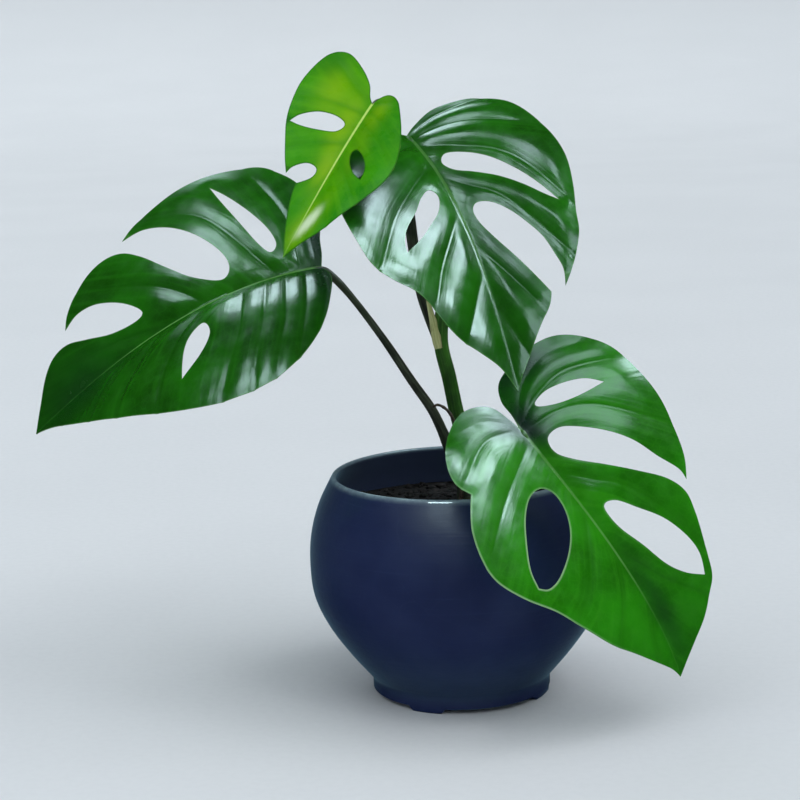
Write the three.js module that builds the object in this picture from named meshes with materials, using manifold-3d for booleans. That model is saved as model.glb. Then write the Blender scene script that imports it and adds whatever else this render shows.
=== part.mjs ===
// A young monstera in a round belly pot: one short stem in the soil, four leaf stalks and four split blades.
// Millimetres, +Z up. The plant is laid out about the pot's axis with the foot of the pot at z = 0, and the
// viewer's side is -Y. At the end the group is moved so that the origin is the middle of its bounding box's
// bottom face.

import * as THREE from "three";
import { mergeVertices } from "three/addons/utils/BufferGeometryUtils.js";
import Module from "manifold-3d";

const wasm = await Module();
wasm.setup();

// ---------------------------------------------------------------- driving dimensions

const GAP = 0.4; // left between pieces that touch

const POT = {
  // outer profile from the top of the foot ring to the rim, as radius and height
  profile: [[60, 11], [76.5, 31], [90, 51], [98, 70], [100, 90], [98.7, 110], [93.2, 130], [83.7, 149]],
  profileSteps: 11,
  turns: 48, // flats round the pot
  wall: 3,
  floorUnderside: 8,
  floorTop: 12,
  floorRadius: 54,
  footRadius: 60,
  footWall: 5,
  archHeight: 3, // the foot ring stands on four pads with low arches between them
  padAngle: -25, // degrees from +X to the first pad, the others follow every 90
  padHalfWidth: 11, // degrees
};

const SOIL = { edgeHeight: 122, moundHeight: 131, moundRadius: 42, rings: 5 };

const STEM = { centre: [13, 2], bottom: 106, top: 134, bottomRadius: 9, topRadius: 12.5 };

// Leaf stalks: the route from the top of the stem to the blade, and the radius at even steps along it.
const STALKS = {
  stalk_left: {
    route: [[5, -1, 134.6], [4.8, -1, 138], [1.5, 0, 149], [-4, 1, 164], [-9, 2, 178], [-15, 4, 191],
      [-27, 7, 209], [-45, 11, 237], [-62, 15, 261], [-76, 18, 278], [-84, 19.5, 285]],
    radii: [4.4, 3.4, 3.1, 2.8, 2.5, 2.3, 2.2, 2.4],
    colour: 0x444c41,
  },
  stalk_top: {
    route: [[14, 11.4, 134.6], [13.8, 11.4, 138], [11.5, 12, 150], [6, 13.5, 170], [0.5, 15, 190],
      [-4.5, 16, 212], [-10, 16, 236], [-15, 16, 251], [-20, 16, 268], [-25, 14, 304], [-28, 15, 335],
      [-31, 13, 358], [-35, 0, 383], [-40, -22, 395], [-46, -47, 397]],
    radii: [3.6, 3.2, 3.3, 3.6, 3.8, 3.4, 2.8, 2.2, 1.9],
    colour: 0x2d3a24,
  },
  stalk_right: {
    route: [[14.5, 2, 134.6], [14.3, 2, 138], [12, 2.5, 148], [7, 3, 166], [1, 4, 190], [-3, 5, 212],
      [-8, 6, 236], [-6, 8, 262], [-2, 11, 297], [-3, 13, 331], [-11, 10, 357], [-22.5, 3.5, 369.5]],
    radii: [5.4, 4.9, 4.9, 4.8, 4.4, 3.6, 3.2, 3, 2.8],
    colour: 0x3f6f1e,
  },
  stalk_front: {
    route: [[19, -7.9, 134.6], [19, -8, 138], [19, -10, 150], [19, -16, 168], [20, -30, 184],
      [25, -49, 192], [32, -66, 191], [36.6, -74.8, 190.6]],
    radii: [4.2, 3.6, 3.2, 2.9, 2.7],
    colour: 0x2f4f24,
  },
};

const AERIAL_ROOT = {
  route: [[-14.8, 0.4, 194], [-11, -4, 196], [-5, -7, 192.5], [-1, -7.5, 185], [0, -8, 172], [2, -9, 155],
    [3, -11, 141], [2, -12.5, 131.4]],
  radii: [0.8, 1, 1.2, 1.3, 1.4],
  colour: 0x4a3a2c,
};

// The dry sheath that the top leaf grew out of: a pale curled strip between the two tall stalks.
const SHEATH = {
  foot: [-11, 0, 233], head: [-16.5, 7, 266], width: 7, thickness: 0.8, turn: 35, colour: 0xb3ab74,
};

// Blades. A blade is drawn flat: a runs along the midrib from the stalk and c out to one side, both in mm.
// margin is one half's edge from stalk to tip as smooth stretches that meet in corners, so each new stretch
// starts where the last ends. A hole is a smooth loop that starts and ends at its pointed outer end.
// The flat drawing, times scale, is then laid on a curved surface: heading and pitch aim the midrib where it
// leaves the stalk and roll turns the face about it; droop and sweep bend it down and to the left, by the first
// number times the share of the length run so far plus the second times that share squared; fold raises the
// halves from the midrib; and curl turns each down again. Angles are degrees, and curl is for each 100 mm.
const BLADE = { thickness: 0.8, edgeSteps: 19, meshSteps: 8, midribSteps: 14 }; // steps to a blade's length

const BLADES = {
  leaf_left: {
    base: [-86, 20, 287], scale: 1, heading: 190, pitch: -5, roll: -33, length: 236,
    droop: [78, -33], sweep: [12, -13], fold: { left: 18, right: 22 }, curl: 24, colour: 0x1e6714,
    left: {
      margin: [[[0, 0], [-4, 14], [0, 36], [9, 63], [24, 86], [44, 101], [65, 105], [88, 102], [110, 93],
        [134, 78], [162, 58], [192, 34], [218, 12], [236, 0]]],
      holes: [[[107, 67], [92, 54], [82, 37], [85, 22], [95, 28], [102, 41]]],
    },
    right: {
      margin: [
        [[0, 0], [-2, 10], [-3, 22], [-6, 38], [-3, 58], [7, 80], [24, 98], [48, 104], [72, 103], [92, 98],
          [108, 92], [119, 84]],
        [[103, 83], [86, 72], [71, 54], [60, 33], [58, 18], [66, 12], [83, 24], [97, 42], [110, 61],
          [122, 74], [136, 79], [151, 77], [165, 69], [176, 58], [181, 49]],
        [[168, 53], [153, 50], [138, 40], [127, 28], [123, 19], [132, 17], [150, 21], [168, 30], [184, 38],
          [198, 38], [210, 30], [223, 15], [236, 0]],
      ],
      holes: [[[54, 91], [45, 76], [35, 56], [27, 37], [25, 24], [30, 19], [36, 29], [43, 50], [50, 74]]],
    },
  },
  leaf_top: {
    base: [-48, -52, 397], scale: 0.97, heading: 224, pitch: -44, roll: -23, length: 122,
    droop: [12, -9], sweep: [4, 0], fold: { left: 17, right: 17 }, curl: 18, colour: 0x56a51a,
    left: {
      margin: [[[0, 0], [-6, 3], [-9, 9], [-6, 17], [3, 25], [16, 34], [30, 41], [44, 45], [58, 43], [72, 35],
        [86, 26], [100, 17], [112, 7], [122, 0]]],
      holes: [[[58, 26], [50, 25], [42, 19], [37, 11], [40, 8], [47, 11], [54, 18]]],
    },
    right: {
      margin: [
        [[0, 0], [-4, 4], [-12, 9], [-20, 19], [-26, 32], [-22, 42], [-11, 47], [6, 49], [22, 47], [36, 43],
          [50, 36], [61, 30], [69, 25]],
        [[63, 23], [57, 16], [58, 9], [65, 9], [73, 16]],
        [[84, 14], [103, 8], [122, 0]],
      ],
      holes: [[[35, 41], [28, 37], [21, 27], [19, 15], [22, 8], [29, 11], [33, 22], [35, 33]]],
    },
  },
  leaf_right: {
    base: [-27, 0, 373.5], scale: 1.02, heading: 301, pitch: -24, roll: 13, length: 204,
    droop: [61, -31], sweep: [-24, 8], fold: { left: 18, right: 18 }, curl: 6, colour: 0x24701b,
    left: {
      margin: [
        [[0, 0], [-6, 10], [-10, 26], [-4, 44], [6, 56], [18, 66], [34, 72], [52, 75], [70, 75], [88, 71],
          [104, 66], [117, 63], [129, 57], [140, 50], [148, 44]],
        [[137, 46], [126, 44], [113, 41], [100, 35], [88, 28], [79, 20], [76, 12], [81, 8], [91, 9],
          [104, 14], [119, 21], [134, 28], [149, 35]],
        [[156, 32], [165, 25], [178, 16], [192, 7], [204, 0]],
      ],
      holes: [[[94, 59], [79, 52], [62, 43], [47, 33], [36, 21], [31, 11], [37, 6], [46, 10], [54, 20],
        [64, 32], [76, 43], [87, 52]]],
    },
    right: {
      margin: [[[0, 0], [-6, 11], [-8, 27], [0, 44], [16, 60], [38, 73], [60, 80], [80, 81], [100, 78],
        [115, 73], [127, 62], [135, 51], [145, 43], [156, 38], [167, 31], [178, 19], [190, 7], [204, 0]]],
      holes: [[[108, 48], [100, 47], [90, 42], [77, 31], [65, 22], [59, 14], [65, 10], [77, 15], [88, 25],
        [99, 36]]],
    },
  },
  leaf_front: {
    base: [38, -80, 194], scale: 1, heading: 326, pitch: -45, roll: 35, length: 197,
    droop: [25, 27], sweep: [10, -7], fold: { left: 18, right: 18 }, curl: 16, colour: 0x287a1f,
    left: {
      margin: [
        [[0, 0], [-10, 1.5], [-21, 2], [-31, 8], [-36, 22], [-38, 40], [-34, 57], [-22, 71], [-4, 81],
          [18, 84], [40, 83], [60, 78], [76, 72], [88, 64]],
        [[80, 64], [66, 58], [50, 52], [36, 43], [23, 31], [15, 20], [16, 10], [26, 8], [37, 15], [51, 28],
          [66, 42], [80, 54], [93, 59], [106, 57], [120, 53], [133, 49], [145, 45], [154, 38], [166, 28],
          [178, 16], [188, 7], [197, 0]],
      ],
      holes: [
        [[9, 61], [0, 53], [-6, 41], [-9, 28], [-7, 18], [-3, 19], [3, 31], [7, 46]],
        [[142, 41], [129, 45], [116, 44], [99, 38], [84, 28], [72, 19], [71, 11], [86, 11], [104, 17],
          [122, 23], [134, 31]],
      ],
    },
    right: {
      margin: [
        [[0, 0], [-10, 2.5], [-19, 6], [-25, 14], [-27, 27], [-23, 40], [-13, 54], [-2, 62], [9, 65],
          [19, 61]],
        [[26, 68], [37, 77], [52, 83], [67, 84], [84, 76], [101, 63], [119, 53], [138, 42], [154, 29],
          [172, 15], [186, 5], [197, 0]],
      ],
      holes: [[[84, 64], [73, 61], [60, 52], [48, 41], [40, 29], [39, 18], [46, 12], [58, 13], [70, 20],
        [80, 32], [87, 47], [88, 58]]],
    },
  },
};

// ---------------------------------------------------------------- helpers

const { degToRad, lerp } = THREE.MathUtils;

function asPath(points) {
  return new THREE.CatmullRomCurve3(points.map((point) => new THREE.Vector3(...point)));
}

// A value at t from 0 to 1 along a list of evenly spaced values.
function valueAlong(values, t) {
  const place = t * (values.length - 1);
  const before = Math.min(Math.floor(place), values.length - 2);
  return lerp(values[before], values[before + 1], place - before);
}

function material(colour, roughness) {
  return new THREE.MeshStandardMaterial({ color: colour, roughness, metalness: 0 });
}

function named(name, geometry, finish) {
  const mesh = new THREE.Mesh(geometry, finish);
  mesh.name = name;
  return mesh;
}

function toSolid(geometry) {
  const bare = geometry.clone();
  bare.deleteAttribute("normal");
  bare.deleteAttribute("uv");
  const merged = mergeVertices(bare, 1e-4);
  return new wasm.Manifold(
    new wasm.Mesh({
      numProp: 3,
      vertProperties: new Float32Array(merged.attributes.position.array),
      triVerts: new Uint32Array(merged.index.array),
    }),
  );
}

function toGeometry(solid) {
  const mesh = solid.getMesh();
  const geometry = new THREE.BufferGeometry();
  geometry.setAttribute("position", new THREE.BufferAttribute(mesh.vertProperties, 3));
  geometry.setIndex(new THREE.BufferAttribute(mesh.triVerts, 1));
  return geometry;
}

// A profile of radius and height turned about Z.
function turned(profile, segments) {
  const points = profile.map(([radius, height]) => new THREE.Vector2(radius, height));
  return new THREE.LatheGeometry(points, segments).rotateX(Math.PI / 2);
}

// A round stalk along a route, with its radius changing along it.
function taperedTube({ route, radii }, sides, stepLength) {
  const path = asPath(route);
  const steps = Math.ceil(path.getLength() / stepLength);
  const section = new THREE.Shape().absarc(0, 0, 1, 0, 2 * Math.PI);
  const geometry = new THREE.ExtrudeGeometry(section, {
    steps,
    curveSegments: sides / 2,
    bevelEnabled: false,
    extrudePath: path,
  });
  const centres = path.getSpacedPoints(steps);
  const place = geometry.attributes.position;
  const point = new THREE.Vector3();
  for (let i = 0; i < place.count; i++) {
    point.fromBufferAttribute(place, i);
    const distances = centres.map((centre) => centre.distanceToSquared(point));
    const nearest = distances.indexOf(Math.min(...distances));
    point.sub(centres[nearest]).multiplyScalar(valueAlong(radii, nearest / steps)).add(centres[nearest]);
    place.setXYZ(i, point.x, point.y, point.z);
  }
  return geometry;
}

// ---------------------------------------------------------------- pot and soil

function potWall() {
  const curve = new THREE.SplineCurve(POT.profile.map((point) => new THREE.Vector2(...point)));
  const outer = [];
  const inner = [];
  for (let i = 0; i <= POT.profileSteps; i++) {
    const point = curve.getPointAt(i / POT.profileSteps);
    const tangent = curve.getTangentAt(i / POT.profileSteps);
    outer.push([point.x, point.y]);
    inner.push([point.x - POT.wall * tangent.y, point.y + POT.wall * tangent.x]);
  }
  return { outer, inner: inner.filter(([, height]) => height > POT.floorTop + 1) };
}

// The rounded lip that joins the two faces of the wall at the rim.
function lip(outerEnd, innerEnd) {
  const middle = [(outerEnd[0] + innerEnd[0]) / 2, (outerEnd[1] + innerEnd[1]) / 2];
  const start = Math.atan2(outerEnd[1] - middle[1], outerEnd[0] - middle[0]);
  return [1, 2, 3].map((step) => {
    const angle = start + (step * Math.PI) / 4;
    return [middle[0] + (POT.wall / 2) * Math.cos(angle), middle[1] + (POT.wall / 2) * Math.sin(angle)];
  });
}

function footArch(middleAngle) {
  const halfWidth = degToRad(45 - POT.padHalfWidth);
  const sector = new THREE.Shape();
  sector.absarc(0, 0, POT.footRadius + 2, -halfWidth, halfWidth, false);
  sector.absarc(0, 0, POT.footRadius - POT.footWall - 2, halfWidth, -halfWidth, true);
  const cutter = new THREE.ExtrudeGeometry(sector, { depth: POT.archHeight + 1, bevelEnabled: false });
  return cutter.translate(0, 0, -1).rotateZ(degToRad(middleAngle));
}

function pot() {
  const { outer, inner } = potWall();
  const footInside = POT.footRadius - POT.footWall;
  const profile = [
    [0, POT.floorUnderside],
    [footInside, POT.floorUnderside],
    [footInside, 0],
    [POT.footRadius, 0],
    ...outer,
    ...lip(outer.at(-1), inner.at(-1)),
    ...inner.toReversed(),
    [POT.floorRadius, POT.floorTop],
    [0, POT.floorTop],
  ];
  let solid = toSolid(turned(profile, POT.turns));
  for (const quarter of [0, 1, 2, 3]) {
    solid = solid.subtract(toSolid(footArch(POT.padAngle + 45 + 90 * quarter)));
  }
  return named("pot", toGeometry(solid), material(0x1f2a48, 0.35));
}

function soilHeight(radius) {
  const mound = SOIL.moundHeight - SOIL.edgeHeight;
  return SOIL.edgeHeight + mound * Math.exp(-((radius / SOIL.moundRadius) ** 2));
}

function soil() {
  const { inner } = potWall();
  const wallSide = inner.filter(([, height]) => height < SOIL.edgeHeight);
  const [below, above] = [wallSide.at(-1), inner[wallSide.length]];
  const share = (SOIL.edgeHeight - below[1]) / (above[1] - below[1]);
  const edgeRadius = lerp(below[0], above[0], share) - GAP;
  const surface = [];
  for (let ring = SOIL.rings; ring >= 0; ring--) {
    const radius = (edgeRadius * ring) / SOIL.rings;
    surface.push([radius, soilHeight(radius)]);
  }
  const profile = [
    [0, POT.floorTop + GAP],
    [POT.floorRadius - GAP, POT.floorTop + GAP],
    ...wallSide.map(([radius, height]) => [radius - GAP, height]),
    ...surface,
  ];
  const depth = STEM.top - STEM.bottom + GAP;
  const socket = new THREE.CylinderGeometry(STEM.topRadius + GAP, STEM.bottomRadius + GAP, depth, 20)
    .rotateX(Math.PI / 2)
    .translate(...STEM.centre, STEM.top - depth / 2);
  const solid = toSolid(turned(profile, POT.turns / 2)).subtract(toSolid(socket));
  return named("soil", toGeometry(solid), material(0x2a221c, 0.95));
}

// ---------------------------------------------------------------- stem, stalks, root and sheath

function stem() {
  const { bottom, top, bottomRadius, topRadius, centre } = STEM;
  const geometry = turned(
    [[0, bottom], [bottomRadius, bottom], [bottomRadius, lerp(bottom, top, 0.5)],
      [topRadius - 1, lerp(bottom, top, 0.85)], [topRadius, top - 1], [topRadius - 1, top], [0, top]],
    20,
  );
  return named("stem", geometry.translate(...centre, 0), material(0x4c5a2c, 0.7));
}

function sheath() {
  const { width, thickness, turn } = SHEATH;
  const foot = new THREE.Vector3(...SHEATH.foot);
  const head = new THREE.Vector3(...SHEATH.head);
  const height = head.distanceTo(foot);
  const strip = new THREE.Shape().moveTo(-width / 2, 0);
  strip.lineTo(width / 2, 0);
  strip.quadraticCurveTo(width / 2, height * 0.75, 0, height);
  strip.quadraticCurveTo(-width / 2, height * 0.75, -width / 2, 0);
  const flat = { depth: thickness, bevelEnabled: false, curveSegments: 5 };
  const geometry = new THREE.ExtrudeGeometry(strip, flat).rotateX(Math.PI / 2).rotateZ(degToRad(-turn));
  const up = new THREE.Vector3(0, 0, 1);
  const lean = new THREE.Quaternion().setFromUnitVectors(up, head.sub(foot).normalize());
  geometry.applyQuaternion(lean).translate(...SHEATH.foot);
  return named("sheath", geometry, material(SHEATH.colour, 0.7));
}

// ---------------------------------------------------------------- blades

// The curved surface that a flat blade is laid on.
class BladeSurface {
  constructor(blade) {
    this.blade = blade;
    const { heading, pitch, roll, base } = blade;
    this.length = blade.length * blade.scale;
    this.aim = new THREE.Quaternion().setFromEuler(
      new THREE.Euler(degToRad(roll), degToRad(-pitch), degToRad(heading), "ZYX"),
    );
    this.stations = [new THREE.Vector3(...base)]; // the midrib's places, one each mm
    for (let a = 1; a <= this.length + 1; a++) {
      const forward = new THREE.Vector3(1, 0, 0).applyQuaternion(this.turnAt(a - 0.5));
      this.stations.push(this.stations.at(-1).clone().add(forward));
    }
  }

  turnAt(a) {
    const { droop, sweep } = this.blade;
    const t = Math.max(a / this.length, 0);
    const down = degToRad(droop[0] * t + droop[1] * t * t);
    const left = degToRad(sweep[0] * t + sweep[1] * t * t);
    const bend = new THREE.Quaternion().setFromEuler(new THREE.Euler(0, down, left, "ZYX"));
    return this.aim.clone().multiply(bend);
  }

  midribAt(a) {
    if (a < 0) return new THREE.Vector3(a, 0, 0).applyQuaternion(this.aim).add(this.stations[0]);
    const before = Math.min(Math.floor(a), this.stations.length - 2);
    return this.stations[before].clone().lerp(this.stations[before + 1], a - before);
  }

  // The place of a drawn point; side is 1 for the left half and -1 for the right, lift is the distance above.
  at(drawn, side, lift) {
    const a = drawn.x * this.blade.scale;
    const c = drawn.y * this.blade.scale;
    const rise = degToRad(side > 0 ? this.blade.fold.left : this.blade.fold.right);
    const rate = degToRad(this.blade.curl) / 100;
    const slope = rise - rate * c;
    const out = (Math.sin(rise) - Math.sin(slope)) / rate;
    const up = (Math.cos(slope) - Math.cos(rise)) / rate;
    const lean = c > 0 ? slope : 0;
    const local = new THREE.Vector3(0, side * (out - lift * Math.sin(lean)), up + lift * Math.cos(lean));
    return local.applyQuaternion(this.turnAt(a)).add(this.midribAt(a));
  }
}

// Points at even steps along smooth stretches that join in corners; the last point is left off.
function sampled(stretches, step) {
  const points = [];
  stretches.forEach((stretch, i) => {
    const through = i ? [stretches[i - 1].at(-1), ...stretch] : stretch;
    const curve = new THREE.SplineCurve(through.map((point) => new THREE.Vector2(...point)));
    points.push(...curve.getSpacedPoints(Math.ceil(curve.getLength() / step)).slice(0, -1));
  });
  return points;
}

// The flat outline of one half: its margin, and back from the tip along the midrib.
function halfOutline(half, length) {
  const outline = sampled(half.margin, length / BLADE.edgeSteps);
  for (let i = BLADE.midribSteps; i > 0; i--) {
    outline.push(new THREE.Vector2((length * i) / BLADE.midribSteps, 0));
  }
  return outline;
}

// Splits every edge longer than a limit, both triangles beside it alike, until none is left.
function refined(points, triangles, longestEdge) {
  const middles = new Map();
  const middleOf = (i, j) => {
    if (points[i].distanceTo(points[j]) < longestEdge) return null;
    const key = Math.min(i, j) + "_" + Math.max(i, j);
    if (!middles.has(key)) middles.set(key, points.push(points[i].clone().lerp(points[j], 0.5)) - 1);
    return middles.get(key);
  };
  let pending = triangles;
  const done = [];
  while (pending.length) {
    const next = [];
    for (const [i, j, k] of pending) {
      const lengthOf = ([from, to]) => points[from].distanceTo(points[to]);
      const sides = [[i, j, k], [j, k, i], [k, i, j]].sort((p, q) => lengthOf(q) - lengthOf(p));
      const [from, to, across] = sides[0];
      const middle = middleOf(from, to);
      if (middle === null) done.push([i, j, k]);
      else next.push([from, middle, across], [middle, to, across]);
    }
    pending = next;
  }
  return done;
}

// One half as two skins and the rim between them; the midrib edge stays open for the other half.
function halfTriangles(half, side, surface) {
  const { length } = surface.blade;
  const outline = halfOutline(half, length);
  const holes = half.holes.map((hole) => sampled([[...hole, hole[0]]], length / BLADE.edgeSteps));
  const points = [...outline, ...holes.flat()];
  const flat = THREE.ShapeUtils.triangulateShape(outline, holes);
  const triangles = refined(points, flat, length / BLADE.meshSteps);
  const top = points.map((point) => surface.at(point, side, BLADE.thickness / 2));
  const bottom = points.map((point) => surface.at(point, side, -BLADE.thickness / 2));
  const corners = [];
  const edges = new Map();
  for (const [i, j, k] of triangles) {
    const area = (points[j].x - points[i].x) * (points[k].y - points[i].y)
      - (points[k].x - points[i].x) * (points[j].y - points[i].y);
    const face = area * side > 0 ? [i, j, k] : [i, k, j];
    corners.push(...face.map((corner) => top[corner]), ...face.toReversed().map((corner) => bottom[corner]));
    face.forEach((from, n) => edges.set(from + "_" + face[(n + 1) % 3], [from, face[(n + 1) % 3]]));
  }
  for (const [from, to] of edges.values()) {
    const onMidrib = points[from].y === 0 && points[to].y === 0;
    if (onMidrib || edges.has(to + "_" + from)) continue;
    corners.push(top[from], bottom[from], top[to], top[to], bottom[from], bottom[to]);
  }
  return corners;
}

function blade(name, shape) {
  const surface = new BladeSurface(shape);
  const corners = [...halfTriangles(shape.left, 1, surface), ...halfTriangles(shape.right, -1, surface)];
  const geometry = new THREE.BufferGeometry().setFromPoints(corners);
  return named(name, mergeVertices(geometry, 1e-4), material(shape.colour, 0.3));
}

// ---------------------------------------------------------------- the whole plant

const plant = new THREE.Group();
plant.add(pot(), soil(), stem(), sheath());
plant.add(named("aerial_root", taperedTube(AERIAL_ROOT, 8, 6), material(AERIAL_ROOT.colour, 0.8)));
for (const [name, stalk] of Object.entries(STALKS)) {
  plant.add(named(name, taperedTube(stalk, 10, 13), material(stalk.colour, 0.5)));
}
for (const [name, shape] of Object.entries(BLADES)) plant.add(blade(name, shape));

const box = new THREE.Box3().setFromObject(plant, true);
const middle = box.getCenter(new THREE.Vector3());
plant.position.set(-middle.x, -middle.y, -box.min.z);

const part = new THREE.Group();
part.add(plant);

export default part;
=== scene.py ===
"""The looks of the potted monstera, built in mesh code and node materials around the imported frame.

Metres, +Z up, -Y towards the viewer. The plant is drawn in millimetres about the pot's axis with the foot of
the pot at z = 0, and placed() lays such a point in the frame.
"""

import math
import random

import bmesh
import bpy
import numpy as np
from mathutils import Matrix, Vector, geometry


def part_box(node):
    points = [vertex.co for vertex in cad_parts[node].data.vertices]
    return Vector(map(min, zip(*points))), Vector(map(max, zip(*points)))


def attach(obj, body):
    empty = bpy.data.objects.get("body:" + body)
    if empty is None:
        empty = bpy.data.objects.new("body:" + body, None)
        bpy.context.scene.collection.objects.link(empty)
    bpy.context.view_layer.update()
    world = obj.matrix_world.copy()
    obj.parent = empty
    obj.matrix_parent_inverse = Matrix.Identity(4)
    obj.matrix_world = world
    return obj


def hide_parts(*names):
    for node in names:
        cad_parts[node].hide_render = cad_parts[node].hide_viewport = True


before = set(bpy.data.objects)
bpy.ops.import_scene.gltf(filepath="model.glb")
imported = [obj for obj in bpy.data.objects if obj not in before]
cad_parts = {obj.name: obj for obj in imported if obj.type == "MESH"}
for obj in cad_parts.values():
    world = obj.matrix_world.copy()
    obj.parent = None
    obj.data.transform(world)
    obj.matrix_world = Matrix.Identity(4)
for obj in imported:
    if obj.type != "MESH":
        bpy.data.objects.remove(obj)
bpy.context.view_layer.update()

MM = 0.001
BODY = "root"
SEED = 11
CYCLE = 6.3  # radians, about one whole wave

pot_low, pot_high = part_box("pot")
POT_AXIS = np.array([(pot_low.x + pot_high.x) / 2, (pot_low.y + pot_high.y) / 2, 0.0])


def placed(points):
    """Drawn points, in mm about the pot's axis, as places in the frame."""
    return np.asarray(points, float) * MM + POT_AXIS


# ---------------------------------------------------------------- sizes of the pieces, in mm

POT = {
    # outer profile from the top of the foot ring to the rim, as radius and height
    "profile": [(60, 11), (76.5, 31), (90, 51), (98, 70), (100, 90), (98.7, 110), (93.2, 130), (83.7, 149)],
    "wall": 3,
    "floor_underside": 8,
    "floor_top": 12,
    "floor_radius": 54,
    "floor_fillet": 3,
    "foot_radius": 60,
    "foot_wall": 5,
    "foot_edge": 0.8,
    "arch_height": 3,  # the foot ring stands on four pads with low arches between them
    "pad_angle": -25,  # degrees from +X to the first pad, the others follow every 90
    "pad_half_width": 11,
    "turns": 288,
}

SOIL = {
    # the hidden side from the axis out, as radius and height
    "side": [(0, 13), (53, 13), (74, 32), (88, 54), (95.5, 78), (95.5, 100)],
    "shoulder_height": 118,
    "edge_height": 122,
    "edge_radius": 91.5,
    "mound_height": 131,
    "mound_radius": 42,
    "rings": 60,
    "turns": 180,
    "lumps": 40,
    "lump_lengths": (4, 22),
    "lump_height": 0.16,
}

CRUMBS = {
    "count": 720,
    "sizes": (0.6, 1.5),
    "large_sizes": (1.6, 3.0),
    "large_every": 6,
    "fibre_every": 17,
    "fibre_stretch": (3.2, 0.5, 0.4),
    "bumps": 0.22,
    "clear_of_edge": 5,
    "clear_of_stem": 3,
}

STEM = {
    "centre": (13, 2), "bottom": 106, "top": 134,
    "bottom_radius": 9, "waist_radius": 9.5, "top_radius": 12.5, "scars": 0.45,
}

# Leaf stalks: the route from the top of the stem to the blade, and the radius at even steps along it.
STALKS = {
    "stalk_left": {
        "route": [(5, -1, 134.6), (4.8, -1, 138), (1.5, 0, 149), (-4, 1, 164), (-9, 2, 178), (-15, 4, 191),
                  (-27, 7, 209), (-45, 11, 237), (-62, 15, 261), (-76, 18, 278), (-84, 19.5, 285)],
        "radii": [4.4, 3.4, 3.1, 2.8, 2.5, 2.3, 2.2, 2.4],
        "blade": "leaf_left",
        "slot": "dark_stalk",
    },
    "stalk_top": {
        "route": [(14, 11.4, 134.6), (13.8, 11.4, 138), (11.5, 12, 150), (6, 13.5, 170), (0.5, 15, 190),
                  (-4.5, 16, 212), (-10, 16, 236), (-15, 16, 251), (-20, 16, 268), (-25, 14, 304),
                  (-28, 15, 335), (-31, 13, 358), (-35, 0, 383), (-40, -22, 395), (-46, -47, 397)],
        "radii": [3.6, 3.2, 3.3, 3.6, 3.8, 3.4, 2.8, 2.2, 1.9],
        "blade": "leaf_top",
        "slot": "dark_stalk",
    },
    "stalk_right": {
        "route": [(14.5, 2, 134.6), (14.3, 2, 138), (12, 2.5, 148), (7, 3, 166), (1, 4, 190), (-3, 5, 212),
                  (-8, 6, 236), (-6, 8, 262), (-2, 11, 297), (-3, 13, 331), (-11, 10, 357),
                  (-22.5, 3.5, 369.5)],
        "radii": [5.4, 4.9, 4.9, 4.8, 4.4, 3.6, 3.2, 3, 2.8],
        "blade": "leaf_right",
        "slot": "green_stalk",
    },
    "stalk_front": {
        "route": [(19, -7.9, 134.6), (19, -8, 138), (19, -10, 150), (19, -16, 168), (20, -30, 184),
                  (25, -49, 192), (32, -66, 191), (36.6, -74.8, 190.6)],
        "radii": [4.2, 3.6, 3.2, 2.9, 2.7],
        "blade": "leaf_front",
        "slot": "green_stalk",
    },
}

AERIAL_ROOT = {
    "route": [(-14.8, 0.4, 194), (-11, -4, 196), (-5, -7, 192.5), (-1, -7.5, 185), (0, -8, 172), (2, -9, 155),
              (3, -11, 141), (2, -12.5, 131.4)],
    "radii": [0.8, 1, 1.2, 1.3, 1.4],
}

SHEATH = {
    "foot": (-11, 0, 233), "head": (-16.5, 7, 266), "width": 7, "thickness": 0.8,
    "turn": 35,  # degrees
    "roll": 1.15,  # radians from the middle of the strip to its side
}

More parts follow.
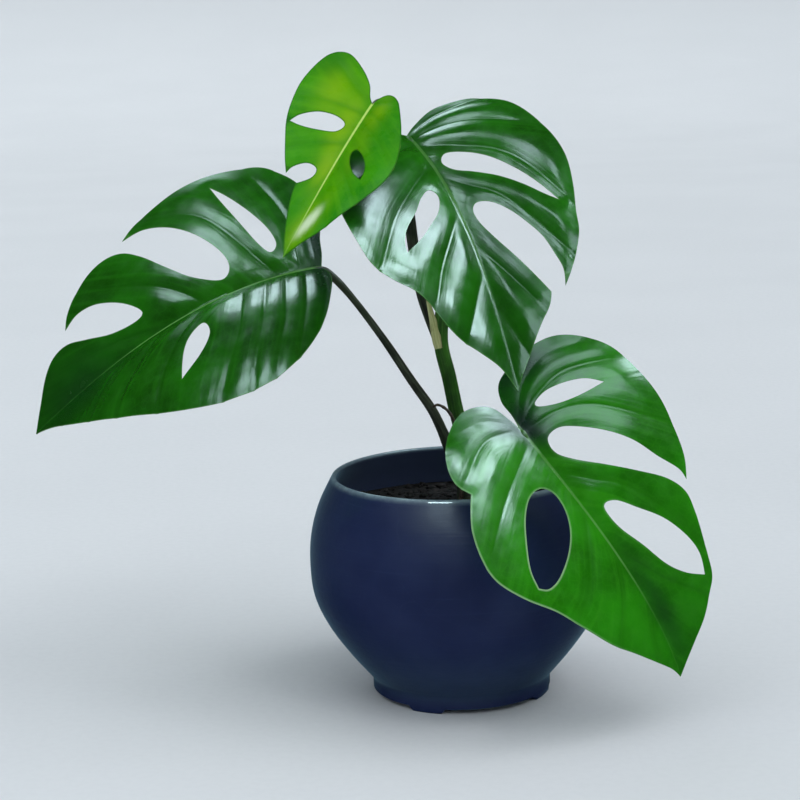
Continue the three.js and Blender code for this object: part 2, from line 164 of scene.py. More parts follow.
# Blades. A blade is drawn flat: a runs along the midrib from the stalk and c out to one side, both in mm.
#   base                  where the midrib starts, with its heading, pitch and roll there in degrees
#   length, scale         the midrib's length as drawn, and the scale that the drawing is built at
#   droop, sweep          degrees that the midrib bends down and to the left: the first number times the
#                         share of the length, plus the second times that share squared
#   fold, curl            degrees that each half is raised at the midrib, and turns down again for each 100 mm
#   bulge, valley, lip    mm that the cushions between the veins rise, and that the blade sinks beside the
#                         midrib and at its edges, as (left, right)
#   calm                  the shares of the length between which the cushions fade out
#   rib                   half the midrib's width at the stalk
#   glow, deep, patch     soft ovals of yellow; of dark green, painted shade where the blade lies in shadow;
#                         and of whitish colour, a painted highlight; as spots() takes them
#   pale_rim              the place round which the edge is pale, and how far
#   margin                the edge of one half from stalk to tip, as smooth stretches that meet in corners, so
#                         each new stretch starts where the last ends
#   holes                 smooth loops, each from its pointed outer end and back
#   veins                 smooth lines from the midrib out
# These outlines, veins and poses, and the routes and the pot's profile above, are not worked out from driving
# sizes. They were traced or read in the photo, or fitted to it, and printed by scratch programs, then edited.
BLADES = {
    "leaf_left": {
        "base": (-86, 20, 287), "scale": 1, "heading": 190, "pitch": -5, "roll": -33, "length": 236,
        "droop": (78, -33), "sweep": (12, -13), "fold": (18, 22), "curl": 24,
        "bulge": (1.2, 2.0), "valley": (0, 1.0), "lip": (0.3, 0.0), "calm": (0.55, 0.9), "rib": 1.3,
        "glow": [((30, 0), (60, 16), 0, 0.7)],
        "painted_shade": [((-4, -30), (17, 36), 0, 0.95), ((2, 25), (9, 40), 0, 0.5), ((185, 2), (34, 24), 0, 0.45)],
        "patch": [], "pale_rim": ((100, 0), 500), "slot": "leaf",
        "left": {
            "margin": [[(0, 0), (-4, 14), (0, 36), (9, 63), (24, 86), (44, 101), (65, 105), (88, 102),
                        (110, 93), (134, 78), (162, 58), (192, 34), (218, 12), (236, 0)]],
            "holes": [[(107, 67), (92, 54), (82, 37), (85, 22), (95, 28), (102, 41)]],
            "veins": [[(2, 0), (2, 30), (12, 66)], [(11, 0), (17, 42), (30, 88)],
                      [(24, 0), (32, 50), (47, 96)], [(38, 0), (46, 46), (60, 88)],
                      [(54, 0), (63, 47), (82, 92)], [(80, 0), (99, 19), (114, 42), (124, 66)],
                      [(111, 0), (130, 16), (146, 36), (155, 54)], [(142, 0), (162, 17), (176, 36)],
                      [(172, 0), (189, 10), (203, 20)]],
        },
        "right": {
            "margin": [
                [(0, 0), (-2, 10), (-3, 22), (-6, 38), (-3, 58), (7, 80), (24, 98), (48, 104), (72, 103),
                 (92, 98), (108, 92), (119, 84)],
                [(103, 83), (86, 72), (71, 54), (60, 33), (58, 18), (66, 12), (83, 24), (97, 42), (110, 61),
                 (122, 74), (136, 79), (151, 77), (165, 69), (176, 58), (181, 49)],
                [(168, 53), (153, 50), (138, 40), (127, 28), (123, 19), (132, 17), (150, 21), (168, 30),
                 (184, 38), (198, 38), (210, 30), (223, 15), (236, 0)],
            ],
            "holes": [[(54, 91), (45, 76), (35, 56), (27, 37), (25, 24), (30, 19), (36, 29), (43, 50),
                       (50, 74)]],
            "veins": [[(3, 0), (3, 26), (8, 56)], [(14, 0), (15, 43), (28, 88)],
                      [(29, 0), (40, 20), (66, 69), (104, 96)], [(80, 0), (95, 19), (112, 35), (150, 61)],
                      [(112, 0), (138, 9), (168, 17), (200, 25)], [(160, 0), (186, 7), (208, 12)]],
        },
    },
    "leaf_top": {
        "base": (-48, -52, 397), "scale": 0.97, "heading": 224, "pitch": -44, "roll": -23, "length": 122,
        "droop": (12, -9), "sweep": (4, 0), "fold": (17, 17), "curl": 18,
        "bulge": (0.5, 0.6), "valley": (0, 0), "lip": (0.1, 0.1), "calm": (0.9, 1.5), "rib": 1.0,
        # The patch near the tip is a painted highlight; the last glow oval, round it, is its yellow-green
        # border.
        "glow": [((4, -26), (19, 12), 10, 0.7), ((22, -8), (26, 7), 0, 0.75), ((58, -4), (18, 5), 0, 0.8),
                 ((8, 9), (16, 7), 0, 0.6), ((44, 12), (20, 8), 0, 0.3), ((96, 4), (20, 7), -14, 0.9)],
        "painted_shade": [((70, -18), (12, 10), 0, 0.4), ((8, 38), (22, 9), 10, 0.4), ((-18, -38), (12, 9), 0, 0.4)],
        "patch": [((94.5, 5.4), (12.5, 3.9), -16, 1)], "pale_rim": ((50, 0), 500), "slot": "new_leaf",
        "left": {
            "margin": [[(0, 0), (-6, 3), (-9, 9), (-6, 17), (3, 25), (16, 34), (30, 41), (44, 45), (58, 43),
                        (72, 35), (86, 26), (100, 17), (112, 7), (122, 0)]],
            "holes": [[(58, 26), (50, 25), (42, 19), (37, 11), (40, 8), (47, 11), (54, 18)]],
            "veins": [[(1, 0), (-2, 8), (-3, 14)], [(6, 0), (12, 13), (22, 30)],
                      [(16, 0), (24, 16), (40, 38)], [(44, 0), (58, 14), (70, 26)],
                      [(68, 0), (80, 9), (90, 16)]],
        },
        "right": {
            "margin": [
                [(0, 0), (-4, 4), (-12, 9), (-20, 19), (-26, 32), (-22, 42), (-11, 47), (6, 49), (22, 47),
                 (36, 43), (50, 36), (61, 30), (69, 25)],
                [(63, 23), (57, 16), (58, 9), (65, 9), (73, 16)],
                [(84, 14), (103, 8), (122, 0)],
            ],
            "holes": [[(35, 41), (28, 37), (21, 27), (19, 15), (22, 8), (29, 11), (33, 22), (35, 33)]],
            "veins": [[(2, 0), (-7, 18), (-16, 34)], [(9, 0), (11, 20), (15, 42)],
                      [(33, 0), (42, 17), (52, 33)], [(62, 0), (76, 5), (92, 9)]],
        },
    },
    "leaf_right": {
        "base": (-27, 0, 373.5), "scale": 1.02, "heading": 301, "pitch": -24, "roll": 13, "length": 204,
        "droop": (61, -31), "sweep": (-24, 8), "fold": (18, 18), "curl": 6,
        "bulge": (2.2, 1.8), "valley": (0, 0.5), "lip": (0.9, 0.35), "calm": (0.9, 1.5), "rib": 1.3,
        "glow": [((30, 0), (60, 16), 0, 0.7)],
        "painted_shade": [((57, -64), (21, 22), 0, 0.95), ((85, 13), (52, 9), 8, 0.5)],
        "patch": [], "pale_rim": ((100, 0), 500), "slot": "leaf",
        "left": {
            "margin": [
                [(0, 0), (-6, 10), (-10, 26), (-4, 44), (6, 56), (18, 66), (34, 72), (52, 75), (70, 75),
                 (88, 71), (104, 66), (117, 63), (129, 57), (140, 50), (148, 44)],
                [(137, 46), (126, 44), (113, 41), (100, 35), (88, 28), (79, 20), (76, 12), (81, 8), (91, 9),
                 (104, 14), (119, 21), (134, 28), (149, 35)],
                [(156, 32), (165, 25), (178, 16), (192, 7), (204, 0)],
            ],
            "holes": [[(94, 59), (79, 52), (62, 43), (47, 33), (36, 21), (31, 11), (37, 6), (46, 10),
                       (54, 20), (64, 32), (76, 43), (87, 52)]],
            "veins": [[(1, 0), (-3, 22), (2, 46)], [(6, 0), (11, 27), (34, 62)],
                      [(16, 0), (30, 21), (52, 45), (98, 66)], [(47, 0), (62, 13), (82, 31), (132, 55)],
                      [(102, 0), (120, 9), (150, 24)], [(150, 0), (166, 7), (182, 11)]],
        },
        "right": {
            "margin": [[(0, 0), (-6, 11), (-8, 27), (0, 44), (16, 60), (38, 73), (60, 80), (80, 81),
                        (100, 78), (115, 73), (127, 62), (135, 51), (145, 43), (156, 38), (167, 31),
                        (178, 19), (190, 7), (204, 0)]],
            "holes": [[(108, 48), (100, 47), (90, 42), (77, 31), (65, 22), (59, 14), (65, 10), (77, 15),
                       (88, 25), (99, 36)]],
            "veins": [[(2, 0), (2, 26), (14, 52)], [(12, 0), (26, 28), (52, 66)],
                      [(34, 0), (57, 25), (82, 47), (116, 67)], [(76, 0), (99, 15), (120, 28), (142, 38)],
                      [(122, 0), (144, 12), (164, 22)]],
        },
    },
    "leaf_front": {
        "base": (38, -80, 194), "scale": 1, "heading": 326, "pitch": -45, "roll": 35, "length": 197,
        "droop": (25, 27), "sweep": (10, -7), "fold": (18, 18), "curl": 16,
        "bulge": (1.5, 0.75), "valley": (1.0, 0.5), "lip": (0.2, 0.2), "calm": (0.6, 0.95), "rib": 1.3,
        "glow": [((30, 0), (60, 16), 0, 0.7)],
        "painted_shade": [((-2, 6), (17, 11), 0, 0.9), ((-5, -12), (13, 12), 0, 0.6), ((-31, 24), (13, 30), 0, 0.95),
                 ((145, 6), (42, 6), 0, 0.45), ((18, 14), (26, 6), 45, 0.4)],
        "patch": [], "pale_rim": ((70, -55), 52), "slot": "leaf",
        "left": {
            "margin": [
                [(0, 0), (-10, 1.5), (-21, 2), (-31, 8), (-36, 22), (-38, 40), (-34, 57), (-22, 71), (-4, 81),
                 (18, 84), (40, 83), (60, 78), (76, 72), (88, 64)],
                [(80, 64), (66, 58), (50, 52), (36, 43), (23, 31), (15, 20), (16, 10), (26, 8), (37, 15),
                 (51, 28), (66, 42), (80, 54), (93, 59), (106, 57), (120, 53), (133, 49), (145, 45),
                 (154, 38), (166, 28), (178, 16), (188, 7), (197, 0)],
            ],
            "holes": [
                [(9, 61), (0, 53), (-6, 41), (-9, 28), (-7, 18), (-3, 19), (3, 31), (7, 46)],
                [(142, 41), (129, 45), (116, 44), (99, 38), (84, 28), (72, 19), (71, 11), (86, 11),
                 (104, 17), (122, 23), (134, 31)],
            ],
            "veins": [[(0, 0), (-20, 18), (-28, 42), (-22, 64)], [(1, 0), (-10, 22), (-12, 46), (0, 76)],
                      [(4, 0), (6, 26), (18, 48), (50, 74)], [(36, 0), (53, 16), (74, 33), (124, 50)],
                      [(94, 0), (112, 8), (130, 17), (152, 34)], [(138, 0), (154, 9), (170, 16)]],
        },
        "right": {
            "margin": [
                [(0, 0), (-10, 2.5), (-19, 6), (-25, 14), (-27, 27), (-23, 40), (-13, 54), (-2, 62), (9, 65),
                 (19, 61)],
                [(26, 68), (37, 77), (52, 83), (67, 84), (84, 76), (101, 63), (119, 53), (138, 42), (154, 29),
                 (172, 15), (186, 5), (197, 0)],
            ],
            "holes": [[(84, 64), (73, 61), (60, 52), (48, 41), (40, 29), (39, 18), (46, 12), (58, 13),
                       (70, 20), (80, 32), (87, 47), (88, 58)]],
            "veins": [[(0, 0), (-14, 18), (-17, 36)], [(2, 0), (-3, 28), (10, 56)],
                      [(10, 0), (20, 19), (34, 46), (52, 74)], [(64, 0), (88, 18), (106, 36), (112, 52)],
                      [(98, 0), (120, 14), (138, 32)], [(138, 0), (156, 10), (170, 13)]],
        },
    },
}

BLADE_THICKNESS = 0.7
EDGE_THICKNESS = 0.35

# How densely a blade is meshed: its edges, its veins, rows beside the midrib and along the veins, and a grid
# that fills the rest. Rows and grid keep some room to the edges and some spacing to the points before them.
EDGE_STEP = 1.5
VEIN_STEP = 2.0
GRID_STEP = 2.3
MIDRIB_ROWS = (0.9, 2.1, 3.6)
VEIN_ROWS = (0, -1.0, 1.0, -2.3, 2.3)
ROW_ROOM, ROW_SPACING = 0.7, 0.8
GRID_ROOM, GRID_SPACING = 1.4, 1.7

# The relief of a blade: heights or depths and how far each reaches.
UNEVENNESS, UNEVEN_LENGTHS = 0.9, (38, 75)
LIP_REACH = 4.5
VALLEY_REACH = 9
GROOVE, GROOVE_REACH = 0.06, 1.1  # over a vein
HUMP = 0.2  # the midrib above
KEEL, KEEL_LOSS = 2.1, 1.6  # the midrib below, and how much lower it is at the tip
RIDGE, RIDGE_REACH = 0.5, 1.2  # a vein below
FULL_CUSHION = 22  # between two veins, where a cushion reaches its whole height
OUTER_CUSHION = 44  # the width given to the cushions outside the first and last vein
FAR = 99.0  # the distance given where there is no vein on that side
MIDRIB_ROOM = 11  # over which the relief beside the midrib grows to its whole height
RIB_TAPER = 0.7  # how much of its width the midrib loses by the tip

# All stalks: how far each starts inside the stem, its swollen foot, its knee and the channel along it.
# Swelling and depth are shares of the radius, and the channel's place and reach are in radians.
STALK_STEP = 1.6
STALK_SIDES = 20
INTO_STEM = 4.5
FOOT_SWELLING, FOOT_REACH = 0.28, 9
KNEE_SWELLING, KNEE_REACH, KNEE_FROM_END = 0.16, 11, 30
CHANNEL_DEPTH, CHANNEL_PLACE, CHANNEL_REACH = 0.10, 1.2, 0.5
# The end of a stalk under its blade: mm along the blade, and lift above its surface.
UNDER_MIDRIB = [(3.0, -1.6), (9.0, -1.5), (17.0, -1.2)]

ROOT_STEP = 0.8
ROOT_SIDES = 12
ROOT_KNOTS = 14


# ---------------------------------------------------------------- curves and meshes


def spline(points, step, power=0.0):
    """Points at even steps on a smooth curve through points; power 0 is the plain Catmull-Rom curve and 0.5
    the centripetal one."""
    through = np.asarray(points, float)
    if power:
        ends = 2 * through[0] - through[1], 2 * through[-1] - through[-2]
    else:
        ends = through[0], through[-1]
    padded = np.vstack([ends[0], through, ends[1]])
    knots = np.linalg.norm(np.diff(padded, axis=0), axis=1) ** power
    t = np.linspace(0, 1, 24, endpoint=False)[:, None]
    pieces = []
    for i in range(len(through) - 1):
        p0, p1, p2, p3 = padded[i:i + 4]
        d0, d1, d2 = knots[i:i + 3]
        start = d1 * ((p1 - p0) / d0 - (p2 - p0) / (d0 + d1) + (p2 - p1) / d1)
        end = d1 * ((p2 - p1) / d1 - (p3 - p1) / (d1 + d2) + (p3 - p2) / d2)
        pieces.append(p1 + start * t + (3 * (p2 - p1) - 2 * start - end) * t**2
                      + (2 * (p1 - p2) + start + end) * t**3)
    curve = np.vstack([*pieces, through[-1]])
    run = np.concatenate([[0], np.cumsum(np.linalg.norm(np.diff(curve, axis=0), axis=1))])
    places = np.linspace(0, run[-1], max(2, math.ceil(run[-1] / step) + 1))
    return np.stack([np.interp(places, run, curve[:, k]) for k in range(curve.shape[1])], axis=1)


def smoothstep(low, high, values):
    t = np.clip((np.asarray(values, float) - low) / (high - low), 0, 1)
    return t * t * (3 - 2 * t)


def along(values, t):
    """Values at t from 0 to 1 along a list of evenly spaced values."""
    return np.interp(t, np.linspace(0, 1, len(values)), values)


def make_piece(name, points, faces, material, node, attributes=None, sharp=None):
    """A named mesh at points in mm, standing for a CAD node and riding on the plant's one body."""
    mesh = bpy.data.meshes.new(name)
    mesh.from_pydata(placed(points).tolist(), [], [list(map(int, face)) for face in faces])
    mesh.polygons.foreach_set("use_smooth", [True] * len(mesh.polygons))
    for label, values in (attributes or {}).items():
        layer = mesh.attributes.new(label, "FLOAT_VECTOR", "POINT")
        layer.data.foreach_set("vector", np.asarray(values, np.float32).ravel())
    mesh.update()
    if sharp:
        mesh.set_sharp_from_angle(angle=math.radians(sharp))
    mesh.materials.append(material)
    piece = bpy.data.objects.new(name, mesh)
    bpy.context.scene.collection.objects.link(piece)
    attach(piece, BODY)
    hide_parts(node)
    return piece


# ---------------------------------------------------------------- node materials


class Shader:
    """One node material around a Principled BSDF."""

    def __init__(self, name, **constants):
        self.material = bpy.data.materials.new(name)
        self.material.use_nodes = True
        self.tree = self.material.node_tree
        self.surface = self.tree.nodes["Principled BSDF"]
        for label, value in constants.items():
            self.surface.inputs[label.replace("_", " ")].default_value = value

    def add(self, kind, inputs=(), **settings):
        node = self.tree.nodes.new(kind)
        for label, value in settings.items():
            setattr(node, label, value)
        for key, value in dict(inputs).items():
            self.feed(node.inputs[key], value)
        return node

    def feed(self, socket, value):
        if isinstance(value, bpy.types.NodeSocket):
            self.tree.links.new(value, socket)
        elif isinstance(value, (tuple, list)) and len(value) == 3 and socket.type == "RGBA":
            socket.default_value = (*value, 1)
        else:
            socket.default_value = value

    def math(self, operation, first, second=0.0, clamp=False):
        node = self.add("ShaderNodeMath", {0: first, 1: second}, operation=operation, use_clamp=clamp)
        return node.outputs[0]

    def rise(self, value, low, high, to_low=0.0, to_high=1.0):
        """A smooth rise from to_low where value is low to to_high where it is high."""
        node = self.add("ShaderNodeMapRange", {"Value": value, "From Min": low, "From Max": high,
                                               "To Min": to_low, "To Max": to_high},
                        interpolation_type="SMOOTHSTEP")
        return node.outputs["Result"]

    def mix(self, factor, first, second):
        node = self.add("ShaderNodeMix", data_type="RGBA")
        self.feed(node.inputs[0], factor)
        self.feed(node.inputs[6], first)
        self.feed(node.inputs[7], second)
        return node.outputs[2]

    def noise(self, vector, size, detail=3.0, stretch=None):
        """Noise from 0 to 1 whose features are size mm across."""
        if stretch:
            scaled = self.add("ShaderNodeVectorMath", {0: vector, 1: stretch}, operation="MULTIPLY")
            vector = scaled.outputs[0]
        node = self.add("ShaderNodeTexNoise", {"Vector": vector, "Scale": 1 / size, "Detail": detail})
        return node.outputs["Fac"]

    def cells(self, vector, size):
        """Distance from the borders of irregular cells size mm across, as a share of a cell."""
        node = self.add("ShaderNodeTexVoronoi", {"Vector": vector, "Scale": 1 / size},
                        feature="DISTANCE_TO_EDGE")
        return node.outputs["Distance"]

    def place(self):
        """The place in mm in the frame."""
        coordinates = self.add("ShaderNodeTexCoord").outputs["Object"]
        scale = self.add("ShaderNodeVectorMath", {0: coordinates, "Scale": 1 / MM}, operation="SCALE")
        return scale.outputs[0]

    def attribute(self, name):
        node = self.add("ShaderNodeAttribute", attribute_name=name, attribute_type="GEOMETRY")
        split = self.add("ShaderNodeSeparateXYZ", {0: node.outputs["Vector"]})
        return node.outputs["Vector"], split.outputs[0], split.outputs[1], split.outputs[2]

    def bump(self, height, depth, normal=None):
        """A bump of depth mm for a height from 0 to 1."""
        node = self.add("ShaderNodeBump", {"Height": height, "Distance": depth * MM, "Strength": 1.0})
        if normal:
            self.feed(node.inputs["Normal"], normal)
        return node.outputs["Normal"]

    def finish(self, colour, roughness, normal=None):
        self.feed(self.surface.inputs["Base Color"], colour)
        self.feed(self.surface.inputs["Roughness"], roughness)
        if normal:
            self.feed(self.surface.inputs["Normal"], normal)
        return self.material


def leaf_material(name, palette):
    """A waxy blade: pale midrib, fine side veins, a net of small veins, pale edge, duller paler back."""
    shader = Shader(name, IOR=1.46, Specular_IOR_Level=palette["specular"], Subsurface_Weight=0.12,
                    Subsurface_Scale=0.0012)
    shader.surface.inputs["Subsurface Radius"].default_value = (0.5, 1.0, 0.15)
    drawn, ahead, side, under = shader.attribute("drawn")
    _, midrib, vein, edge = shader.attribute("lines")
    _, share, height, pale = shader.attribute("field")
    _, rim_here, patch, painted_shade = shader.attribute("marks")

    net = shader.rise(shader.cells(drawn, 4.6), 0.0, 0.1, 1.0, 0.0)
    blotch = shader.noise(drawn, 46, 3)
    mottle = shader.noise(drawn, 9, 4)
    beside = shader.add("ShaderNodeCombineXYZ", {0: vein, 1: shader.math("MULTIPLY", side, 0.1),
                                                 2: shader.math("MULTIPLY", ahead, 0.05)}).outputs[0]
    streak = shader.noise(beside, 5, 2)

    green = shader.mix(shader.rise(blotch, 0.35, 0.68), palette["dark"], palette["mid"])
    green = shader.mix(shader.rise(streak, 0.42, 0.75, 0.0, 0.3), green, palette["light"])
    green = shader.mix(shader.rise(mottle, 0.35, 0.75, 0.0, 0.15), green, palette["light"])
    green = shader.mix(shader.math("MULTIPLY", pale, palette["glow"]), green, palette["yellow"])
    green = shader.mix(shader.math("MULTIPLY", net, 0.10), green, palette["light"])
    near_vein = shader.rise(vein, 0.3, 1.5, palette["vein"], 0.0)
    green = shader.mix(near_vein, green, palette["light"])
    # Painted shade: darker down in the grooves along the veins, between the cushions.
    green = shader.mix(shader.rise(height, 0.0, 0.5, 0.35, 0.0), green, palette["dark"])
    green = shader.mix(shader.rise(share, 0.55, 0.95, 0.0, palette["tip"]), green, palette["dark"])
    # Painted shade: dark green ovals where the blade lies in shadow.
    green = shader.mix(painted_shade, green, palette["painted_shade"])

    back = shader.mix(shader.rise(blotch, 0.3, 0.7), palette["back"], palette["back_light"])
    back = shader.mix(shader.rise(vein, 0.5, 1.8, 0.6, 0.0), back, palette["rib"])
    back = shader.mix(shader.math("MULTIPLY", net, 0.25), back, palette["back_light"])

    colour = shader.mix(under, green, back)
    line = shader.rise(midrib, 0.55, 1.15, palette["midrib"], 0.0)
    line = shader.math("MULTIPLY", line, shader.rise(share, 0.45, palette["fades"], 1.0, 0.15))
    colour = shader.mix(line, colour, palette["rib"])
    rim = shader.rise(edge, 0.3, palette["rim_width"], palette["rim"], 0.0)
    colour = shader.mix(shader.math("MULTIPLY", rim, rim_here), colour, palette["edge"])
    # Painted highlight: a whitish patch.
    colour = shader.mix(patch, colour, palette["patch"])

    roughness = shader.rise(mottle, 0.3, 0.75, palette["gloss"], palette["gloss"] + 0.08)
    roughness = shader.math("ADD", roughness, shader.math("MULTIPLY", under, 0.22))
    roughness = shader.math("ADD", roughness, shader.math("MULTIPLY", painted_shade, 0.1))
    ripple = shader.bump(shader.noise(drawn, 14, 1), 0.12)
    ripple = shader.bump(net, -0.004, ripple)
    ripple = shader.bump(streak, palette["streaks"], ripple)
    return shader.finish(colour, roughness, ripple)


def stalk_material(name, dark, light, streak):
    """A stalk's skin: fine lengthwise lines, paler flecks, and a paler joint below the blade."""
    shader = Shader(name, IOR=1.48, Coat_Weight=0.15, Coat_Roughness=0.25)
    drawn, _, _, knee = shader.attribute("drawn")
    place = shader.place()
    lines = shader.noise(drawn, 1.1, 3, stretch=(0.06, 1.0, 1.0))
    blotch = shader.noise(place, 16, 3)
    fleck = shader.rise(shader.noise(place, 1.5, 2), 0.66, 0.78)
    colour = shader.mix(shader.rise(blotch, 0.3, 0.7), dark, light)
    colour = shader.mix(shader.rise(lines, 0.45, 0.75, 0.0, 0.45), colour, streak)
    colour = shader.mix(shader.math("MULTIPLY", fleck, 0.35), colour, streak)
    colour = shader.mix(shader.math("MULTIPLY", knee, 0.5), colour, light)
    roughness = shader.rise(lines, 0.3, 0.7, 0.34, 0.5)
    ripple = shader.bump(lines, 0.12)
    ripple = shader.bump(shader.noise(place, 2.2, 3), 0.08, ripple)
    return shader.finish(colour, roughness, ripple)


def pot_material():
    """Dark blue glaze with a satin gloss, faint turning lines and specks. Paler along the rim, partly from
    wear and partly a painted highlight where the lip catches the light; paler low down, painted light bounced
    up from the floor; and paler inside, painted light falling into the pot.
    """
    shader = Shader("navy_glaze", IOR=1.46, Specular_IOR_Level=0.28, Coat_Weight=0.6, Coat_Roughness=0.09,
                    Coat_IOR=1.45, Sheen_Weight=0.4, Sheen_Roughness=0.3)
    shader.surface.inputs["Sheen Tint"].default_value = (0.45, 0.80, 1.0, 1)
    place = shader.place()
    _, hollow, lip, low = shader.attribute("drawn")
    turning = shader.noise(place, 1.6, 3, stretch=(0.03, 0.03, 1.0))
    cloud = shader.noise(place, 55, 4)
    grain = shader.noise(place, 1.1, 2)
    lip_unevenness = shader.noise(place, 5, 3)
    speck = shader.rise(shader.cells(place, 22), 0.0, 0.012, 1.0, 0.0)
    colour = shader.mix(shader.rise(cloud, 0.3, 0.72), (0.010, 0.019, 0.076), (0.016, 0.029, 0.099))
    colour = shader.mix(shader.rise(turning, 0.55, 0.8, 0.0, 0.3), colour, (0.026, 0.048, 0.125))
    colour = shader.mix(shader.math("MULTIPLY", speck, 0.12), colour, (0.04, 0.06, 0.13))
    # Painted light: paler low down, for light bounced up from the floor, unevenly.
    painted_floor_bounce = shader.math("MULTIPLY", low, shader.rise(cloud, 0.35, 0.65, 0.2, 0.7))
    colour = shader.mix(painted_floor_bounce, colour, (0.035, 0.062, 0.115))
    # Painted light: paler inside, for light falling into the pot.
    colour = shader.mix(hollow, colour, (0.058, 0.082, 0.165))
    # The lip is paler, partly from wear and partly as a painted highlight where it catches the light.
    wear_and_painted_highlight = shader.math("MULTIPLY", lip, shader.rise(lip_unevenness, 0.3, 0.7, 0.6, 1.0))
    colour = shader.mix(wear_and_painted_highlight, colour, (0.19, 0.28, 0.33))
    roughness = shader.rise(cloud, 0.3, 0.7, 0.34, 0.44)
    roughness = shader.math("ADD", roughness, shader.rise(grain, 0.4, 0.8, 0.0, 0.08))
    ripple = shader.bump(turning, 0.08)
    ripple = shader.bump(shader.noise(place, 12, 2), 0.25, ripple)
    ripple = shader.bump(grain, 0.03, ripple)
    return shader.finish(colour, roughness, ripple)


def soil_material():
    """Dark crumbly potting mix with drier patches."""
    shader = Shader("potting_soil", IOR=1.35, Specular_IOR_Level=0.25)
    place = shader.place()
    crumb = shader.noise(place, 2.5, 5)
    patch = shader.noise(place, 14, 3)
    colour = shader.mix(shader.rise(crumb, 0.35, 0.7), (0.006, 0.0055, 0.0065), (0.029, 0.026, 0.027))
    colour = shader.mix(shader.rise(patch, 0.5, 0.75, 0.0, 0.6), colour, (0.014, 0.011, 0.009))
    roughness = shader.rise(crumb, 0.3, 0.7, 0.75, 0.98)
    return shader.finish(colour, roughness, shader.bump(crumb, 0.7))


def bark_material(name, dark, light, size):
    """Corky skin for the stem and the root: rings and cracks across, paler on the high places."""
    shader = Shader(name, IOR=1.4)
    place = shader.place()
    rings = shader.noise(place, size, 4, stretch=(0.5, 0.5, 1.6))
    blotch = shader.noise(place, size * 5, 3)
    colour = shader.mix(shader.rise(rings, 0.3, 0.7), dark, light)
    colour = shader.mix(shader.rise(blotch, 0.5, 0.75, 0.0, 0.5), colour, dark)
    roughness = shader.rise(rings, 0.3, 0.7, 0.55, 0.85)
    return shader.finish(colour, roughness, shader.bump(rings, 0.35))


def sheath_material():
    """A dried leaf sheath: straw coloured, ribbed lengthwise, browned at the edges."""
    shader = Shader("dry_sheath", IOR=1.4)
    drawn, _, _, edge = shader.attribute("drawn")
    ribs = shader.noise(drawn, 0.9, 3, stretch=(0.05, 1.0, 1.0))
    stain = shader.noise(drawn, 9, 3)
    colour = shader.mix(shader.rise(ribs, 0.3, 0.7), (0.34, 0.36, 0.13), (0.56, 0.58, 0.28))
    colour = shader.mix(shader.rise(stain, 0.52, 0.75, 0.0, 0.6), colour, (0.20, 0.22, 0.07))
    colour = shader.mix(shader.math("MULTIPLY", edge, 0.6), colour, (0.12, 0.09, 0.04))
    roughness = shader.rise(ribs, 0.3, 0.7, 0.5, 0.7)
    return shader.finish(colour, roughness, shader.bump(ribs, 0.2))


def floor_material():
    """Matte pale floor, a little cloudy and grainy, that darkens up the wall behind."""
    shader = Shader("pale_floor", Specular_IOR_Level=0.2)
    place = shader.place()
    cloud = shader.noise(place, 420, 4)
    grain = shader.noise(place, 6, 3)
    height = shader.add("ShaderNodeSeparateXYZ", {0: place}).outputs[2]
    colour = shader.mix(shader.rise(cloud, 0.3, 0.7), (0.665, 0.70, 0.73), (0.685, 0.72, 0.75))
    colour = shader.mix(shader.rise(height, 0, 700, 0.0, 1.0), colour, (0.55, 0.58, 0.605))
    colour = shader.mix(shader.rise(grain, 0.4, 0.7, 0.0, 0.08), colour, (0.59, 0.62, 0.65))
    return shader.finish(colour, shader.rise(grain, 0.3, 0.7, 0.55, 0.7), shader.bump(grain, 0.15))


# ---------------------------------------------------------------- blades


def turn_x(angle):
    c, s = math.cos(angle), math.sin(angle)
    return np.array([[1, 0, 0], [0, c, -s], [0, s, c]])


def turns_y(angles):
    c, s, zero, one = np.cos(angles), np.sin(angles), 0 * angles, 0 * angles + 1
    return np.stack([c, zero, s, zero, one, zero, -s, zero, c], -1).reshape(-1, 3, 3)


def turns_z(angles):
    c, s, zero, one = np.cos(angles), np.sin(angles), 0 * angles, 0 * angles + 1
    return np.stack([c, -s, zero, s, c, zero, zero, zero, one], -1).reshape(-1, 3, 3)


